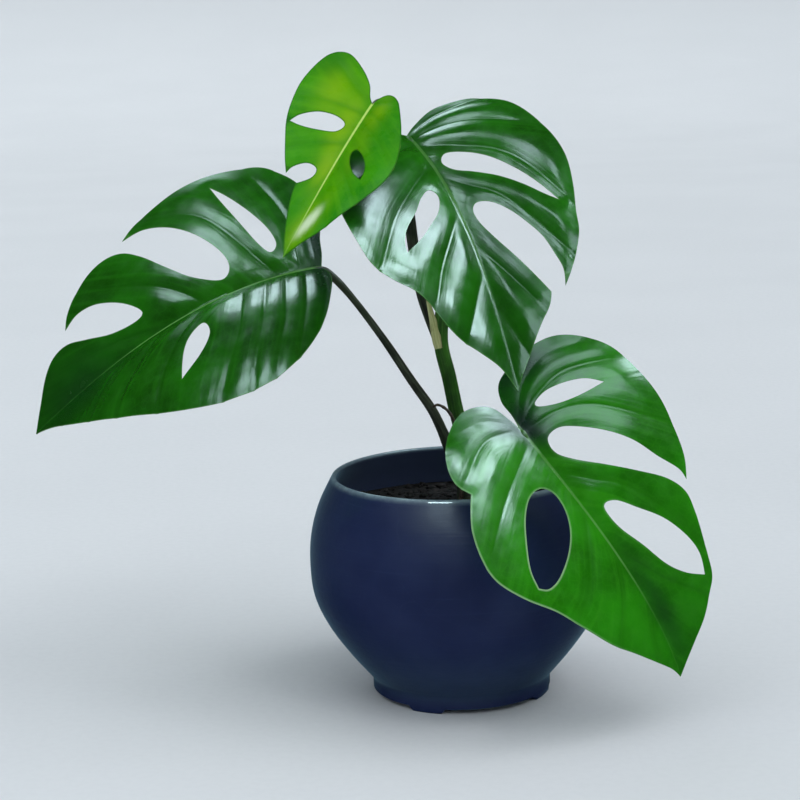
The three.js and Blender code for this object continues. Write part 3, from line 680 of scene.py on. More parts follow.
class BladeSurface:
    """The curved surface that a flat blade is laid on."""

    def __init__(self, blade):
        self.blade = blade
        self.length = blade["length"] * blade["scale"]
        angle = [np.array([math.radians(blade[key])]) for key in ("heading", "pitch", "roll")]
        self.aim = turns_z(angle[0])[0] @ turns_y(-angle[1])[0] @ turn_x(float(angle[2][0]))
        steps = np.arange(1, int(self.length) + 2)
        forward = self.turns(steps - 0.5)[:, :, 0]
        self.stations = np.vstack([blade["base"], np.asarray(blade["base"]) + np.cumsum(forward, axis=0)])

    def turns(self, a):
        t = np.maximum(np.asarray(a, float) / self.length, 0)
        droop, sweep = self.blade["droop"], self.blade["sweep"]
        down = np.radians(droop[0] * t + droop[1] * t**2)
        left = np.radians(sweep[0] * t + sweep[1] * t**2)
        return self.aim @ turns_z(left) @ turns_y(down)

    def midrib_at(self, a):
        places = np.arange(len(self.stations))
        ahead = np.stack([np.interp(a, places, self.stations[:, k]) for k in range(3)], axis=1)
        return ahead + np.minimum(a, 0)[:, None] * self.aim[:, 0]

    def at(self, drawn, lift):
        """Places of drawn points (a, and c positive on the left half) with lift mm above the surface."""
        a = drawn[:, 0] * self.blade["scale"]
        c = np.abs(drawn[:, 1]) * self.blade["scale"]
        side = np.where(drawn[:, 1] >= 0, 1.0, -1.0)
        fold = np.radians(np.where(side > 0, self.blade["fold"][0], self.blade["fold"][1]))
        rate = math.radians(self.blade["curl"]) / 100
        slope = fold - rate * c
        out = (np.sin(fold) - np.sin(slope)) / rate
        up = (np.cos(slope) - np.cos(fold)) / rate
        lean = slope * smoothstep(0, 4, c)
        local = np.stack([0 * a, side * (out - lift * np.sin(lean)), up + lift * np.cos(lean)], axis=1)
        return np.einsum("nij,nj->ni", self.turns(a), local) + self.midrib_at(a)


def margin_of(stretches):
    """The margin as one line of points, with the corners between its stretches kept."""
    points = []
    for i, stretch in enumerate(stretches):
        through = [stretches[i - 1][-1], *stretch] if i else stretch
        points.append(spline(through, EDGE_STEP)[:-1])
    return np.vstack(points)


def loop_of(hole):
    return spline([*hole, hole[0]], EDGE_STEP)[:-1]


def inside(points, loop):
    """Which points lie inside a closed loop."""
    x, y = points[:, :1], points[:, 1:]
    ax, ay = loop[:, 0], loop[:, 1]
    bx, by = np.roll(ax, -1), np.roll(ay, -1)
    crosses = (ay > y) != (by > y)
    rise = np.where(by == ay, 1, by - ay)
    return (crosses & (x < ax + (y - ay) * (bx - ax) / rise)).sum(axis=1) % 2 == 1


def distances(points, line, closed=False):
    """Each point's distance to a line of points, signed: positive where the line has it on its right."""
    start = line if closed else line[:-1]
    end = np.roll(line, -1, axis=0) if closed else line[1:]
    run = end - start
    offset = points[:, None, :] - start
    share = np.clip((offset * run).sum(-1) / (run**2).sum(-1), 0, 1)
    nearest = np.linalg.norm(offset - share[..., None] * run, axis=-1)
    pick = nearest.argmin(axis=1)
    rows = np.arange(len(points))
    cross = run[pick, 0] * offset[rows, pick, 1] - run[pick, 1] * offset[rows, pick, 0]
    return np.where(cross > 0, -1.0, 1.0) * nearest[rows, pick]


def extended(line, before, after):
    first = line[0] - before * (line[1] - line[0]) / np.linalg.norm(line[1] - line[0])
    last = line[-1] + after * (line[-1] - line[-2]) / np.linalg.norm(line[-1] - line[-2])
    return np.vstack([first, line, last])


def thinned(groups):
    """Points of each group that have no kept point nearer than the group's spacing, earlier groups first."""
    cell = max(spacing for _, spacing in groups)
    around = [(i, j) for i in (-1, 0, 1) for j in (-1, 0, 1)]
    kept, table = [], {}
    for points, spacing in groups:
        for x, y in points:
            column, row = int(x // cell), int(y // cell)
            near = (p for i, j in around for p in table.get((column + i, row + j), ()))
            if spacing and any((p[0] - x) ** 2 + (p[1] - y) ** 2 < spacing**2 for p in near):
                continue
            table.setdefault((column, row), []).append((x, y))
            kept.append((x, y))
    return kept


def half_mesh(half, length, veins):
    """One half drawn flat: points and triangles, finer along its edges and veins, and the edges as lines."""
    stations = np.arange(length, 0, -EDGE_STEP)
    margin = margin_of(half["margin"])
    outline = np.vstack([margin, np.stack([stations, 0 * stations], axis=1)])
    holes = [loop_of(hole) for hole in half["holes"]]

    def on_blade(points):
        keep = inside(points, outline)
        for hole in holes:
            keep &= ~inside(points, hole)
        return keep

    def clear(points, room):
        points = points[on_blade(points)]
        for loop in (outline, *holes):
            points = points[np.abs(distances(points, loop, closed=True)) > room]
        return points

    rows = [np.stack([stations, 0 * stations + offset], axis=1) for offset in MIDRIB_ROWS]
    for vein in veins:
        run = np.gradient(vein, axis=0)
        across = np.stack([-run[:, 1], run[:, 0]], axis=1) / np.linalg.norm(run, axis=1)[:, None]
        rows += [vein + across * offset for offset in VEIN_ROWS]
    low, high = outline.min(0), outline.max(0)
    columns, lines = (np.arange(low[k], high[k], GRID_STEP) for k in (0, 1))
    grid = np.stack(np.meshgrid(columns, lines), -1)
    grid[1::2, :, 0] += GRID_STEP / 2
    points = thinned([
        (np.vstack([outline, *holes]), 0),
        (clear(np.vstack(rows), ROW_ROOM), ROW_SPACING),
        (clear(grid.reshape(-1, 2), GRID_ROOM), GRID_SPACING),
    ])

    edges, start = [], 0
    for loop in (outline, *holes):
        count = len(loop)
        edges += [(start + n, start + (n + 1) % count) for n in range(count)]
        start += count
    made = geometry.delaunay_2d_cdt([Vector(p) for p in points], edges, [], 0, 1e-6)
    drawn = np.array([tuple(p) for p in made[0]])
    triangles = np.array(made[2])
    return drawn, triangles[on_blade(drawn[triangles].mean(axis=1))], [margin, *holes]


def rib_field(points, veins):
    """How high a point lies on the cushion between its two veins, and its distance from the nearest one."""
    signed = np.stack([distances(points, extended(vein, before=4, after=30)) for vein in veins])
    count = (signed > 0).sum(axis=0)
    rows = np.arange(len(points))
    before = np.where(count > 0, signed[np.maximum(count - 1, 0), rows], FAR)
    after = np.where(count < len(veins), -signed[np.minimum(count, len(veins) - 1), rows], FAR)
    outer = (count == 0) | (count == len(veins))
    width = np.where(outer, OUTER_CUSHION, before + after)
    near = np.minimum(np.abs(before), np.abs(after))
    arch = np.sin(np.pi * np.clip(near / np.maximum(width, 1.0), 0, 0.5))
    return arch * np.minimum(width / FULL_CUSHION, 1), near


def waves(points, rng, count, lengths, widest):
    """The sum of count sine waves over flat points, with drawn lengths, and directions from 0 to widest."""
    total = 0
    for _ in range(count):
        angle, length, phase = rng.uniform(0, widest), rng.uniform(*lengths), rng.uniform(0, CYCLE)
        along_wave = points[:, 0] * math.cos(angle) + points[:, 1] * math.sin(angle)
        total = total + np.sin(along_wave / length * CYCLE + phase)
    return total


def spots(drawn, places, power=1):
    """How strongly drawn points lie in soft ovals, each given by its place, reach, turn in degrees and
    strength; a higher power gives them a firmer edge."""
    total = np.zeros(len(drawn))
    for (at_a, at_c), (reach_a, reach_c), turn, strength in places:
        c, s = math.cos(math.radians(turn)), math.sin(math.radians(turn))
        a_off, c_off = drawn[:, 0] - at_a, drawn[:, 1] - at_c
        across = ((a_off * c + c_off * s) / reach_a) ** 2 + ((c_off * c - a_off * s) / reach_c) ** 2
        total += strength * np.exp(-(across**power))
    return total


def side_of(values, drawn):
    """The value of a (left, right) pair for the half that each drawn point is on."""
    return np.where(drawn[:, 1] >= 0, values[0], values[1])


def flat_blade(blade):
    """Both halves drawn flat and joined at the midrib: points, triangles, and for each point the height on
    its cushion, the distance from the nearest vein and the distance from the nearest edge."""
    drawn, triangles, fields = [], [], []
    for side, key in ((1, "left"), (-1, "right")):
        half = blade[key]
        veins = [spline(vein, VEIN_STEP) for vein in half["veins"]]
        points, faces, lines = half_mesh(half, blade["length"], veins)
        edge = np.min([np.abs(distances(points, line, closed=i > 0)) for i, line in enumerate(lines)], axis=0)
        corners = points[faces]
        area = np.cross(corners[:, 1] - corners[:, 0], corners[:, 2] - corners[:, 0])
        faces = np.where((area * side > 0)[:, None], faces, faces[:, ::-1])
        triangles.append(faces + sum(map(len, drawn)))
        drawn.append(points * (1, side))
        fields.append(np.column_stack([*rib_field(points, veins), edge]))
    drawn, triangles = np.vstack(drawn), np.vstack(triangles)
    _, first, inverse = np.unique(np.round(drawn, 3) + 0.0, axis=0, return_index=True, return_inverse=True)
    return drawn[first], inverse.ravel()[triangles], np.vstack(fields)[first].T


def bump_at(distance, reach):
    """A rounded bump, 1 at no distance and 0 well beyond reach."""
    return np.exp(-((distance / reach) ** 2))


def blade_piece(name, material):
    """A leaf blade: cushions and grooves above, a keel and ridges below, thinner at its edges."""
    blade = BLADES[name]
    surface = BladeSurface(blade)
    drawn, triangles, (height, vein, edge) = flat_blade(blade)
    a, c = drawn[:, 0], np.abs(drawn[:, 1])
    share = np.clip(a / blade["length"], 0, 1)
    rib_width = blade["rib"] * (1 - RIB_TAPER * share)
    beside = smoothstep(0, MIDRIB_ROOM, c)

    bulge = side_of(blade["bulge"], drawn) * height * beside * (0.55 + 0.45 * smoothstep(0, 14, edge))
    bulge *= 1 - smoothstep(*blade["calm"], share)
    drift = waves(drawn, random.Random(name), 5, UNEVEN_LENGTHS, math.pi) / 5
    uneven = UNEVENNESS * drift * smoothstep(0, 40, c)
    uneven -= side_of(blade["lip"], drawn) * bump_at(edge, LIP_REACH) * beside
    middle = smoothstep(0.02, 0.15, share) * (1 - share)
    uneven -= side_of(blade["valley"], drawn) * np.exp(-c / VALLEY_REACH) * middle
    groove = GROOVE * bump_at(vein, GROOVE_REACH) * beside
    hump = HUMP * bump_at(c, rib_width) * (1 - 0.6 * share)
    keel = (KEEL - KEEL_LOSS * share) * bump_at(c, rib_width * 1.5) * (a > -1)
    ridge = RIDGE * (1 - 0.5 * share) * bump_at(vein, RIDGE_REACH) * beside
    half_thick = (EDGE_THICKNESS + (BLADE_THICKNESS - EDGE_THICKNESS) * smoothstep(0, 4, edge)) / 2
    upper = surface.at(drawn, bulge + uneven - groove + hump + half_thick)
    lower = surface.at(drawn, bulge + uneven - keel - ridge - half_thick)

    count = len(drawn)
    pairs = np.vstack([triangles[:, [0, 1]], triangles[:, [1, 2]], triangles[:, [2, 0]]]).tolist()
    known = set(map(tuple, pairs))
    faces = [*triangles.tolist(), *(triangles[:, ::-1] + count).tolist()]
    faces += [(j, i, i + count, j + count) for i, j in pairs if (j, i) not in known]

    (rim_a, rim_c), rim_reach = blade["pale_rim"]
    rim_here = np.exp(-(((a - rim_a) / rim_reach) ** 2) - ((drawn[:, 1] - rim_c) / rim_reach) ** 2)
    # Ovals of a painted highlight.
    patch = spots(drawn, blade["patch"], power=2)
    # Ovals of painted shade, where the blade lies in shadow.
    painted_shade = np.minimum(spots(drawn, blade["painted_shade"]), 1)
    under = np.repeat([0.0, 1.0], count)
    attributes = {
        "drawn": np.column_stack([np.tile(drawn, (2, 1)), under]),
        "lines": np.tile(np.column_stack([c / rib_width, vein, edge]), (2, 1)),
        "field": np.tile(np.column_stack([share, height, spots(drawn, blade["glow"])]), (2, 1)),
        "marks": np.tile(np.column_stack([rim_here, patch, painted_shade]), (2, 1)),
    }
    return make_piece(name + "_blade", np.vstack([upper, lower]), faces, material, name,
                      attributes, sharp=50)


# ---------------------------------------------------------------- stalks, root, stem and sheath


def tube_faces(rings, sides):
    """Faces of a tube of rings, closed by fans round the two points after them, its foot and its head."""
    foot, head = rings * sides, rings * sides + 1
    last = (rings - 1) * sides
    faces = []
    for k in range(sides):
        n = (k + 1) % sides
        faces += [(i + k, i + n, i + sides + n, i + sides + k) for i in range(0, last, sides)]
        faces += [(n, k, foot), (last + k, last + n, head)]
    return faces


def swept(centres, radii, sides, section):
    """Points and faces of a round bar along centres; section(t, angle) scales its radius."""
    tangents = np.gradient(centres, axis=0)
    tangents /= np.linalg.norm(tangents, axis=1)[:, None]
    normal = Vector(tangents[0]).orthogonal().normalized()
    angles = np.arange(sides) * 2 * math.pi / sides
    rings = []
    for i, (centre, tangent) in enumerate(zip(centres, tangents)):
        forward = Vector(tangent)
        normal = (normal - forward * normal.dot(forward)).normalized()
        across = forward.cross(normal)
        reach = radii[i] * section(i / (len(centres) - 1), angles)
        rings.append(centre + reach[:, None] * (np.cos(angles)[:, None] * np.array(normal)
                                                + np.sin(angles)[:, None] * np.array(across)))
    points = np.vstack([*rings, centres[:1], centres[-1:]])
    return points, tube_faces(len(centres), sides)


def swept_map(centres, radii, sides, mark):
    """The drawn attribute of a swept bar: mm along, mm round, and a mark from 0 to 1."""
    run = np.concatenate([[0], np.cumsum(np.linalg.norm(np.diff(centres, axis=0), axis=1))])
    turn = np.minimum(np.arange(sides), sides - np.arange(sides)) / sides * 2 * math.pi
    rows = [np.column_stack([np.full(sides, run[i]), turn * radii[i], np.full(sides, mark[i])])
            for i in range(len(centres))]
    return np.vstack([*rows, [[0, 0, mark[0]], [run[-1], 0, mark[-1]]]])


def stalk_piece(name, material):
    """A leaf stalk: a swollen clasping foot, a shallow channel, and a knee where it turns into the midrib."""
    stalk = STALKS[name]
    surface = BladeSurface(BLADES[stalk["blade"]])
    ahead, lift = np.array(UNDER_MIDRIB).T
    under_midrib = surface.at(np.column_stack([ahead, 0 * ahead]), lift)
    in_stem = np.asarray(stalk["route"][0], float) - (0, 0, INTO_STEM)
    centres = spline([in_stem, *stalk["route"], *under_midrib], STALK_STEP, power=0.5)
    run = np.linspace(0, 1, len(centres))
    length = len(centres) * STALK_STEP
    from_end = (1 - run) * length
    foot = 1 + FOOT_SWELLING * bump_at(run * length, FOOT_REACH)
    knee = bump_at(from_end - KNEE_FROM_END, KNEE_REACH)
    taper = np.maximum(smoothstep(-4, 15, from_end), 0.25)
    radii = along([stalk["radii"][0], *stalk["radii"]], run) * foot * (1 + KNEE_SWELLING * knee) * taper

    def section(t, angles):
        from_channel = np.angle(np.exp(1j * (angles - CHANNEL_PLACE)))
        channel = CHANNEL_DEPTH * bump_at(from_channel, CHANNEL_REACH) * smoothstep(0.98, 0.8, t)
        wobble = 0.015 * np.sin(5 * angles + 30 * t) + 0.02 * np.sin(3 * angles + 4 + 9 * t)
        return 1 + wobble - channel

    points, faces = swept(centres, radii, STALK_SIDES, section)
    attributes = {"drawn": swept_map(centres, radii, STALK_SIDES, knee)}
    return make_piece(name + "_skin", points, faces, material, name, attributes, sharp=60)


def root_piece(material):
    """The aerial root: a thin knotted bar that tapers to its free end."""
    centres = spline(AERIAL_ROOT["route"], ROOT_STEP, power=0.5)
    run = np.linspace(0, 1, len(centres))
    rng = random.Random(SEED)
    knots = [(rng.uniform(0.05, 0.95), rng.uniform(0.08, 0.2)) for _ in range(ROOT_KNOTS)]
    radii = along(AERIAL_ROOT["radii"], run)
    for place, size in knots:
        radii = radii * (1 + size * bump_at(run - place, 0.012))
    radii[0] *= 0.5

    def section(t, angles):
        return 1 + 0.06 * np.sin(3 * angles + 25 * t)

    points, faces = swept(centres, radii, ROOT_SIDES, section)
    return make_piece("aerial_root_skin", points, faces, material, "aerial_root", sharp=60)


def revolved(profile, turns):
    """Points and faces of a profile of radius and height turned about Z; it starts and ends on the axis."""
    profile = np.asarray(profile, float)
    angles = np.arange(turns) * 2 * math.pi / turns
    radii, heights = profile[1:-1].T
    points = np.stack([np.outer(radii, np.cos(angles)), np.outer(radii, np.sin(angles)),
                       np.outer(heights, 0 * angles + 1)], axis=-1).reshape(-1, 3)
    points = np.vstack([points, [[0, 0, profile[0, 1]], [0, 0, profile[-1, 1]]]])
    return points, tube_faces(len(radii), turns)


def stem_piece(material):
    """The short stem: ringed with old leaf scars and lobed where the stalks leave it."""
    bottom, top = STEM["bottom"], STEM["top"]
    heights = np.linspace(bottom, top - 1.5, 26)
    radii = np.interp(heights, [bottom, (bottom + top) / 2, top],
                      [STEM["bottom_radius"], STEM["waist_radius"], STEM["top_radius"]])
    radii = radii + STEM["scars"] * np.sin(heights * 1.9)
    crown = [(radii[-1] - 0.5, top - 0.7), (radii[-1] - 2.5, top), (0, top + 0.6)]
    points, faces = revolved([(0, bottom), *zip(radii, heights), *crown], 48)
    angle = np.arctan2(points[:, 1], points[:, 0])
    lobes = 1 + 0.05 * np.sin(4 * angle + 0.7) + 0.025 * np.sin(9 * angle + points[:, 2])
    points[:, :2] *= lobes[:, None]
    points[:, :2] += STEM["centre"]
    return make_piece("stem_skin", points, faces, material, "stem", sharp=60)


def sheath_piece(material):
    """The dry sheath: a strip that narrows to its head and is rolled round the stalk beside it."""
    foot, head = np.array(SHEATH["foot"], float), np.array(SHEATH["head"], float)
    up = head - foot
    height = np.linalg.norm(up)
    up /= height
    turn = math.radians(-SHEATH["turn"])
    across = np.array([math.cos(turn), math.sin(turn), 0])
    across -= up * across.dot(up)
    across /= np.linalg.norm(across)
    out = np.cross(across, up)

    rows, columns = 40, 15
    grids = np.meshgrid(np.linspace(0, 1, rows), np.linspace(-1, 1, columns), indexing="ij")
    v, u = (grid.ravel() for grid in grids)
    half = SHEATH["width"] / 2 * (1 - 0.82 * v**2.6) * (1 - 0.12 * smoothstep(0.12, 0, v))
    roll = SHEATH["roll"]
    ragged = 0.5 * np.sin(23 * v + 2 * u) * np.abs(u) ** 3
    flat = (half + ragged * 0.25) * np.sin(u * roll) / math.sin(roll)
    bow = half * (np.cos(u * roll) - 1) / roll * 1.2 + 0.35 * np.sin(9 * v + u)
    middle = foot + np.outer(v * height, up) + np.outer(flat, across) + np.outer(bow, out)
    thin = np.outer(SHEATH["thickness"] / 2 * (1 - 0.6 * np.abs(u) ** 4), out)
    points = np.vstack([middle + thin, middle - thin])

    count = rows * columns
    quads = [(r * columns + k, r * columns + k + 1, (r + 1) * columns + k + 1, (r + 1) * columns + k)
             for r in range(rows - 1) for k in range(columns - 1)]
    ring = list(range(columns))
    ring += [r * columns + columns - 1 for r in range(1, rows)]
    ring += [(rows - 1) * columns + k for k in range(columns - 2, -1, -1)]
    ring += [r * columns for r in range(rows - 2, 0, -1)]
    faces = [*quads, *(tuple(count + i for i in reversed(quad)) for quad in quads)]
    faces += [(j, i, i + count, j + count) for i, j in zip(ring, ring[1:] + ring[:1])]

    brown = np.maximum(np.abs(u) ** 6, smoothstep(0.85, 1, v))
    drawn = np.column_stack([v * height, u * half, brown])
    return make_piece("sheath_skin", points, faces, material, "sheath",
                      {"drawn": np.vstack([drawn, drawn])}, sharp=60)


# ---------------------------------------------------------------- pot and soil


def pot_piece(material):
    """The glazed pot: foot ring with four low arches, belly, rolled lip and the inside down to its floor."""
    wall, foot, floor, below = (POT[key] for key in ("wall", "foot_radius", "floor_top", "floor_underside"))
    edge = POT["foot_edge"]
    foot_inside = foot - POT["foot_wall"]
    outer = spline(POT["profile"], 1.6)
    tangents = np.gradient(outer, axis=0)
    tangents /= np.linalg.norm(tangents, axis=1)[:, None]
    inner = outer + wall * np.column_stack([-tangents[:, 1], tangents[:, 0]])
    middle = (outer[-1] + inner[-1]) / 2
    start = math.atan2(*(outer[-1] - middle)[::-1])
    lip_angles = [start + k * math.pi / 10 for k in range(1, 10)]
    lip = [middle + wall / 2 * np.array([math.cos(angle), math.sin(angle)]) for angle in lip_angles]
    inner = inner[inner[:, 1] > floor + POT["floor_fillet"]]
    profile = [
        (0, below), (foot_inside - 2, below), (foot_inside, below - 2), (foot_inside, 4),
        (foot_inside, edge), (foot_inside + edge, 0), (foot - edge, 0), (foot, edge),
        (foot, 4), (foot, 8), (foot + 0.1, 10), *outer[1:], *lip, *inner[::-1],
        (POT["floor_radius"], floor), (0, floor),
    ]
    points, faces = revolved(profile, POT["turns"])

    angle = np.degrees(np.arctan2(points[:, 1], points[:, 0])) - POT["pad_angle"]
    from_pad = np.abs((angle + 45) % 90 - 45)
    arch = POT["arch_height"] * smoothstep(POT["pad_half_width"] - 1, POT["pad_half_width"] + 1.5, from_pad)
    radius = np.hypot(points[:, 0], points[:, 1])
    in_foot = (points[:, 2] < 4.5) & (radius > foot_inside - 1)
    points[:, 2] += np.where(in_foot, arch * (1 - points[:, 2] / 6), 0)

    height, rim = points[:, 2], outer[-1, 1]
    # hollow marks the inside, painted paler for light falling into the pot.
    hollow = (radius < np.interp(height, outer[:, 1], outer[:, 0]) - 1.2) & (height > floor)
    # lip_share marks the lip, painted paler partly for wear and partly as a painted highlight.
    lip_share = smoothstep(rim - 2.2, rim - 0.2, height)
    # low marks the lower belly, painted paler for light bounced up from the floor.
    low = smoothstep(60, 12, height) * smoothstep(4, 12, height)
    drawn = np.column_stack([hollow, lip_share, low])
    return make_piece("pot_glazed", points, faces, material, "pot", {"drawn": drawn}, sharp=45)


def soil_height(radius):
    """The height of the soil's mound, without its lumps."""
    mound = SOIL["mound_height"] - SOIL["edge_height"]
    return SOIL["edge_height"] + mound * np.exp(-((radius / SOIL["mound_radius"]) ** 2))


def soil_piece(material):
    """The soil body with a lumpy top."""
    edge, count = SOIL["edge_radius"], SOIL["rings"]
    rings = [(edge * (1 - k / count), 0) for k in range(count)]
    points, faces = revolved([*SOIL["side"], (edge, SOIL["shoulder_height"]), *rings, (0, 0)], SOIL["turns"])
    radius = np.hypot(points[:, 0], points[:, 1])
    top = points[:, 2] == 0  # the rings and the last point wait at 0 for their height
    lumps = waves(points, random.Random(SEED), SOIL["lumps"], SOIL["lump_lengths"], CYCLE)
    lumps = SOIL["lump_height"] * lumps * smoothstep(edge, edge - 5, radius)
    points[top, 2] = (soil_height(radius) + lumps)[top]
    return make_piece("soil_bed", points, faces, material, "soil")


def unit_ball():
    """Points and triangles of a ball of radius 1."""
    ball = bpy.data.meshes.new("ball")
    made = bmesh.new()
    bmesh.ops.create_icosphere(made, subdivisions=2, radius=1)
    made.to_mesh(ball)
    made.free()
    points = np.array([vertex.co for vertex in ball.vertices])
    triangles = np.array([tuple(polygon.vertices) for polygon in ball.polygons])
    bpy.data.meshes.remove(ball)
    return points, triangles


def crumbs_piece(material):
    """Loose crumbs and fibres of the potting mix, strewn over the soil."""
    rng = random.Random(SEED + 1)
    shape, triangles = unit_ball()
    points, faces = [], []
    for n in range(CRUMBS["count"]):
        radius = (SOIL["edge_radius"] - CRUMBS["clear_of_edge"]) * math.sqrt(rng.random())
        turn = rng.uniform(0, 2 * math.pi)
        place = np.array([radius * math.cos(turn), radius * math.sin(turn)])
        if np.linalg.norm(place - STEM["centre"]) < STEM["top_radius"] + CRUMBS["clear_of_stem"]:
            continue
        size = rng.uniform(*CRUMBS["sizes" if n % CRUMBS["large_every"] else "large_sizes"])
        stretch = np.array([rng.uniform(0.8, 1.6), rng.uniform(0.6, 1.0), rng.uniform(0.45, 0.8)])
        if n % CRUMBS["fibre_every"] == 0:
            stretch = np.array(CRUMBS["fibre_stretch"])
        waviness = np.array([rng.uniform(2, 5), rng.uniform(2, 5), rng.uniform(2, 5)])
        bumps = 1 + CRUMBS["bumps"] * np.sin(shape @ waviness + rng.uniform(0, CYCLE))
        heading = Matrix.Rotation(rng.uniform(0, CYCLE), 3, "Z")
        spin = np.array(heading @ Matrix.Rotation(rng.uniform(-0.4, 0.4), 3, "X"))
        body = (shape * bumps[:, None] * stretch * size) @ spin.T
        faces += (triangles + len(points) * len(shape)).tolist()
        points.append(body + [*place, soil_height(radius) + 0.25 * size])
    return make_piece("soil_crumbs", np.vstack(points), faces, material, "soil")


# ---------------------------------------------------------------- the plant

# The colours of a blade; then how strongly yellow (glow), the veins, the midrib, the edge (rim) and the dark
# towards the tip show; then the rim's width in mm, the share of the length at which the midrib has faded, the
# roughness (gloss), the specular level and the depth in mm of fine streaks.
OLD_LEAF = {
    "dark": (0.006, 0.068, 0.002), "mid": (0.010, 0.125, 0.0025), "light": (0.024, 0.23, 0.008),
    # The deep colour is painted shade, and the patch colour a painted highlight.
    "yellow": (0.05, 0.28, 0.004), "painted_shade": (0.003, 0.022, 0.009), "patch": (0.5, 0.6, 0.4),
    "rib": (0.15, 0.38, 0.10), "edge": (0.15, 0.38, 0.10),
    "back": (0.035, 0.16, 0.02), "back_light": (0.07, 0.25, 0.04),
    "glow": 0.15, "vein": 0.12, "midrib": 0.7, "rim": 0.2, "tip": 0.7,
    "rim_width": 0.8, "fades": 0.8, "gloss": 0.16, "specular": 0.5, "streaks": 0.2,
}
PALETTES = {
    "leaf_left": OLD_LEAF,
    "leaf_right": {**OLD_LEAF, "mid": (0.011, 0.135, 0.003), "midrib": 0.35},
    "leaf_front": {
        **OLD_LEAF, "dark": (0.010, 0.125, 0.002), "mid": (0.019, 0.235, 0.004), "light": (0.042, 0.34, 0.01),
        "edge": (0.36, 0.56, 0.30), "midrib": 0.45, "rim": 0.75, "tip": 0.2, "rim_width": 1.5,
    },
    "leaf_top": {
        "dark": (0.016, 0.215, 0.0003), "mid": (0.036, 0.300, 0.0004), "light": (0.110, 0.42, 0.001),
        # The deep colour is painted shade, and the patch colour a painted highlight.
        "yellow": (0.27, 0.49, 0.001), "painted_shade": (0.012, 0.14, 0.001), "patch": (0.62, 0.78, 0.52),
        "rib": (0.52, 0.76, 0.16), "edge": (0.010, 0.09, 0.001),
        "back": (0.10, 0.34, 0.02), "back_light": (0.18, 0.46, 0.04),
        "glow": 0.85, "vein": 0.1, "midrib": 0.95, "rim": 0.6, "tip": 0.0,
        "rim_width": 1.0, "fades": 1.0, "gloss": 0.26, "specular": 0.06, "streaks": 0.02,
    },
}

for blade_name, blade_palette in PALETTES.items():
    blade_piece(blade_name, leaf_material(blade_name + "_skin", blade_palette))

STALK_COLOURS = {
    # The dark_stalk colours are near black: painted shade, for stalks that lie in shadow behind the blades.
    "dark_stalk": ((0.018, 0.023, 0.014), (0.05, 0.06, 0.035), (0.13, 0.16, 0.10)),
    "green_stalk": ((0.012, 0.070, 0.003), (0.036, 0.165, 0.008), (0.10, 0.27, 0.03)),
}
stalk_skins = {slot: stalk_material(slot + "_skin", *colours) for slot, colours in STALK_COLOURS.items()}
for stalk_name, stalk_shape in STALKS.items():
    stalk_piece(stalk_name, stalk_skins[stalk_shape["slot"]])

root_piece(bark_material("root_skin", (0.02, 0.013, 0.008), (0.10, 0.07, 0.045), 1.4))
stem_piece(bark_material("stem_bark", (0.03, 0.035, 0.012), (0.11, 0.13, 0.045), 2.6))
sheath_piece(sheath_material())
pot_piece(pot_material())
soil_skin = soil_material()
soil_piece(soil_skin)
crumbs_piece(soil_skin)


# ---------------------------------------------------------------- floor, light and camera

GLOSS_TINT = (0.70, 0.93, 1.0)
LIGHT_DISTANCE = 3  # metres
HIGHLIGHT = (0, -84, 145)  # the place under the pot's rim that the window faces, in mm

# Soft lights: name, azimuth, elevation and spread in degrees, and radiance.
CARDS = [
    ("right_card", 101, 58, 18, 19),
    ("near_card", 65, 58.5, 14, 24),
    ("left_card", -71, 62, 18, 9.5),
    ("top_card", -27, 66, 11, 9),
    ("back_card", -158, 46, 14, 7),
    ("back_halo", -154, 47, 26, 1.2),
    ("front_card", 12, 49, 24, 5.5),
]
LAMPS = [
    ("right_lamp", 66, 51, 44, 2.75),
    ("left_lamp", -60, 66, 60, 0.8),
    ("front_lamp", 15, 34, 50, 1.7),
]


def direction(azimuth, elevation):
    """The way out to an azimuth, 0 towards the viewer and 90 towards +X, and an elevation, in degrees."""
    turn, lift = math.radians(azimuth), math.radians(elevation)
    return Vector((math.sin(turn) * math.cos(lift), -math.cos(turn) * math.cos(lift), math.sin(lift)))


def add_object(name, data):
    """A new object in the scene, which is neither a piece of the plant nor on its body."""
    made = bpy.data.objects.new(name, data)
    bpy.context.scene.collection.objects.link(made)
    return made


def add_floor():
    """A pale dish: flat for 5 m round the plant, then rising as a quarter circle to a wall."""
    flat, rise = 5, 11
    bowl = [(flat + rise * math.sin(t), rise * (1 - math.cos(t))) for t in np.linspace(0, math.pi / 2, 40)]
    points, faces = revolved([(0, 0), (1.5, 0), (3.5, 0), *bowl, (flat + rise, rise + 1), (0, rise + 1)], 96)
    lid = len(points) - 1
    mesh = bpy.data.meshes.new("floor")
    mesh.from_pydata(points.tolist(), [], [face for face in faces if lid not in face])
    mesh.polygons.foreach_set("use_smooth", [True] * len(mesh.polygons))
    mesh.materials.append(floor_material())
    floor = add_object("floor", mesh)
    floor.visible_glossy = False


def add_soft_light(name, azimuth, elevation, spread, radiance, glossy):
    """A round soft light far away, spread degrees across. A glossy one, a card, is seen only in gloss, and
    another, a lamp, only lights the surfaces."""
    back = direction(azimuth, elevation)
    light = bpy.data.lights.new(name, "SUN")
    light.angle = math.radians(spread)
    light.color = GLOSS_TINT if glossy else (1, 1, 1)
    light.energy = radiance * math.pi * math.sin(light.angle / 2) ** 2
    lamp = add_object(name, light)
    lamp.location = back * LIGHT_DISTANCE
    lamp.rotation_euler = back.to_track_quat("Z", "Y").to_euler()
    lamp.visible_glossy = glossy
    lamp.visible_diffuse = not glossy


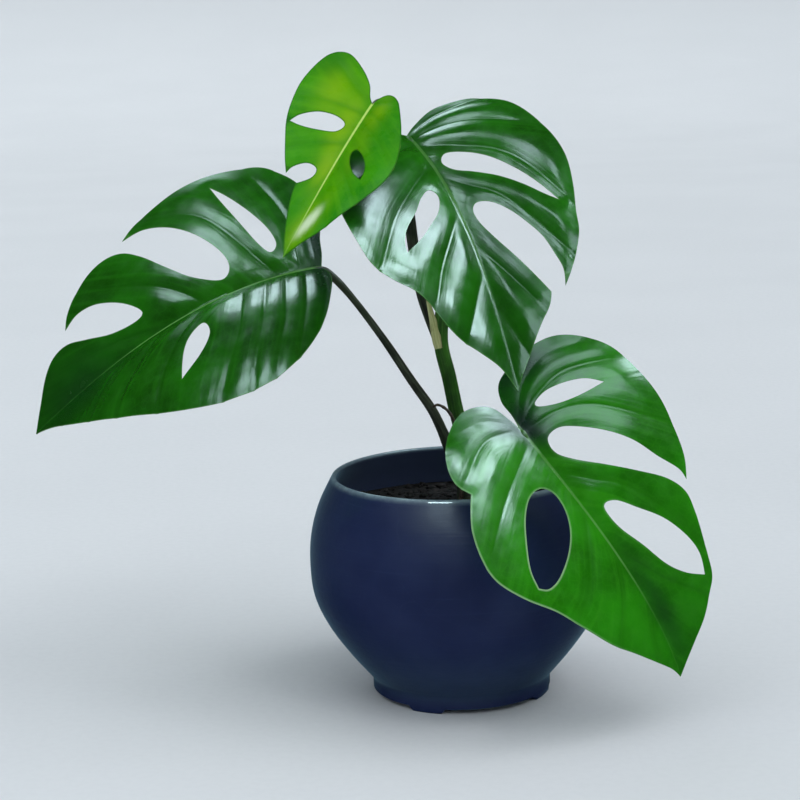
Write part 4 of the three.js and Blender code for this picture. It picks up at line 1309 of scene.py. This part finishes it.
def add_window(azimuth, elevation, size, radiance):
    """A wide low window, seen only in the pot's gloss: the highlight under the front of its rim."""
    back = direction(azimuth, elevation)
    light = bpy.data.lights.new("window", "AREA")
    light.shape = "RECTANGLE"
    light.size, light.size_y = size
    light.color = GLOSS_TINT
    light.energy = radiance * math.pi * light.size * light.size_y
    window = add_object("window", light)
    window.location = Vector(placed(HIGHLIGHT)) + back * LIGHT_DISTANCE
    window.rotation_euler = back.to_track_quat("Z", "Y").to_euler()
    window.visible_diffuse = False
    window.visible_camera = False
    lit = bpy.data.collections.new("lit_by_window")
    lit.objects.link(bpy.data.objects["pot_glazed"])
    window.light_linking.receiver_collection = lit


def add_world(colour, strength):
    """An even fill from all round that leaves the gloss to the cards and the window."""
    world = bpy.data.worlds.new("studio")
    world.use_nodes = True
    background = world.node_tree.nodes["Background"]
    background.inputs["Color"].default_value = (*colour, 1)
    background.inputs["Strength"].default_value = strength
    world.cycles_visibility.glossy = False
    bpy.context.scene.world = world


def add_camera(target, distance, elevation, tilt, lens):
    """A long lens in front of the plant, raised by elevation and tilted, both in degrees; target is in mm."""
    lift, lean = math.radians(elevation), math.radians(tilt)
    back = Vector((0, -math.cos(lift), math.sin(lift)))
    right = Vector((1, 0, 0))
    up = Vector((0, math.sin(lift), math.cos(lift)))
    across = right * math.cos(lean) - up * math.sin(lean)
    above = right * math.sin(lean) + up * math.cos(lean)
    data = bpy.data.cameras.new("camera")
    data.sensor_width = 36
    data.lens = lens
    camera = add_object("camera", data)
    turn = Matrix((across, above, back)).transposed()
    camera.matrix_world = Matrix.Translation(Vector(placed(target)) + back * distance) @ turn.to_4x4()
    bpy.context.scene.camera = camera


add_floor()
for card in CARDS:
    add_soft_light(*card, glossy=True)
add_window(azimuth=-10, elevation=47, size=(1.7, 0.08), radiance=130)
for lamp_values in LAMPS:
    add_soft_light(*lamp_values, glossy=False)
add_world(colour=(0.90, 0.95, 1.0), strength=0.52)
add_camera(target=(-36.4, 0, 199.4), distance=1.4, elevation=10.667, tilt=1.697, lens=94.8)
bpy.context.scene.view_settings.view_transform = "Standard"
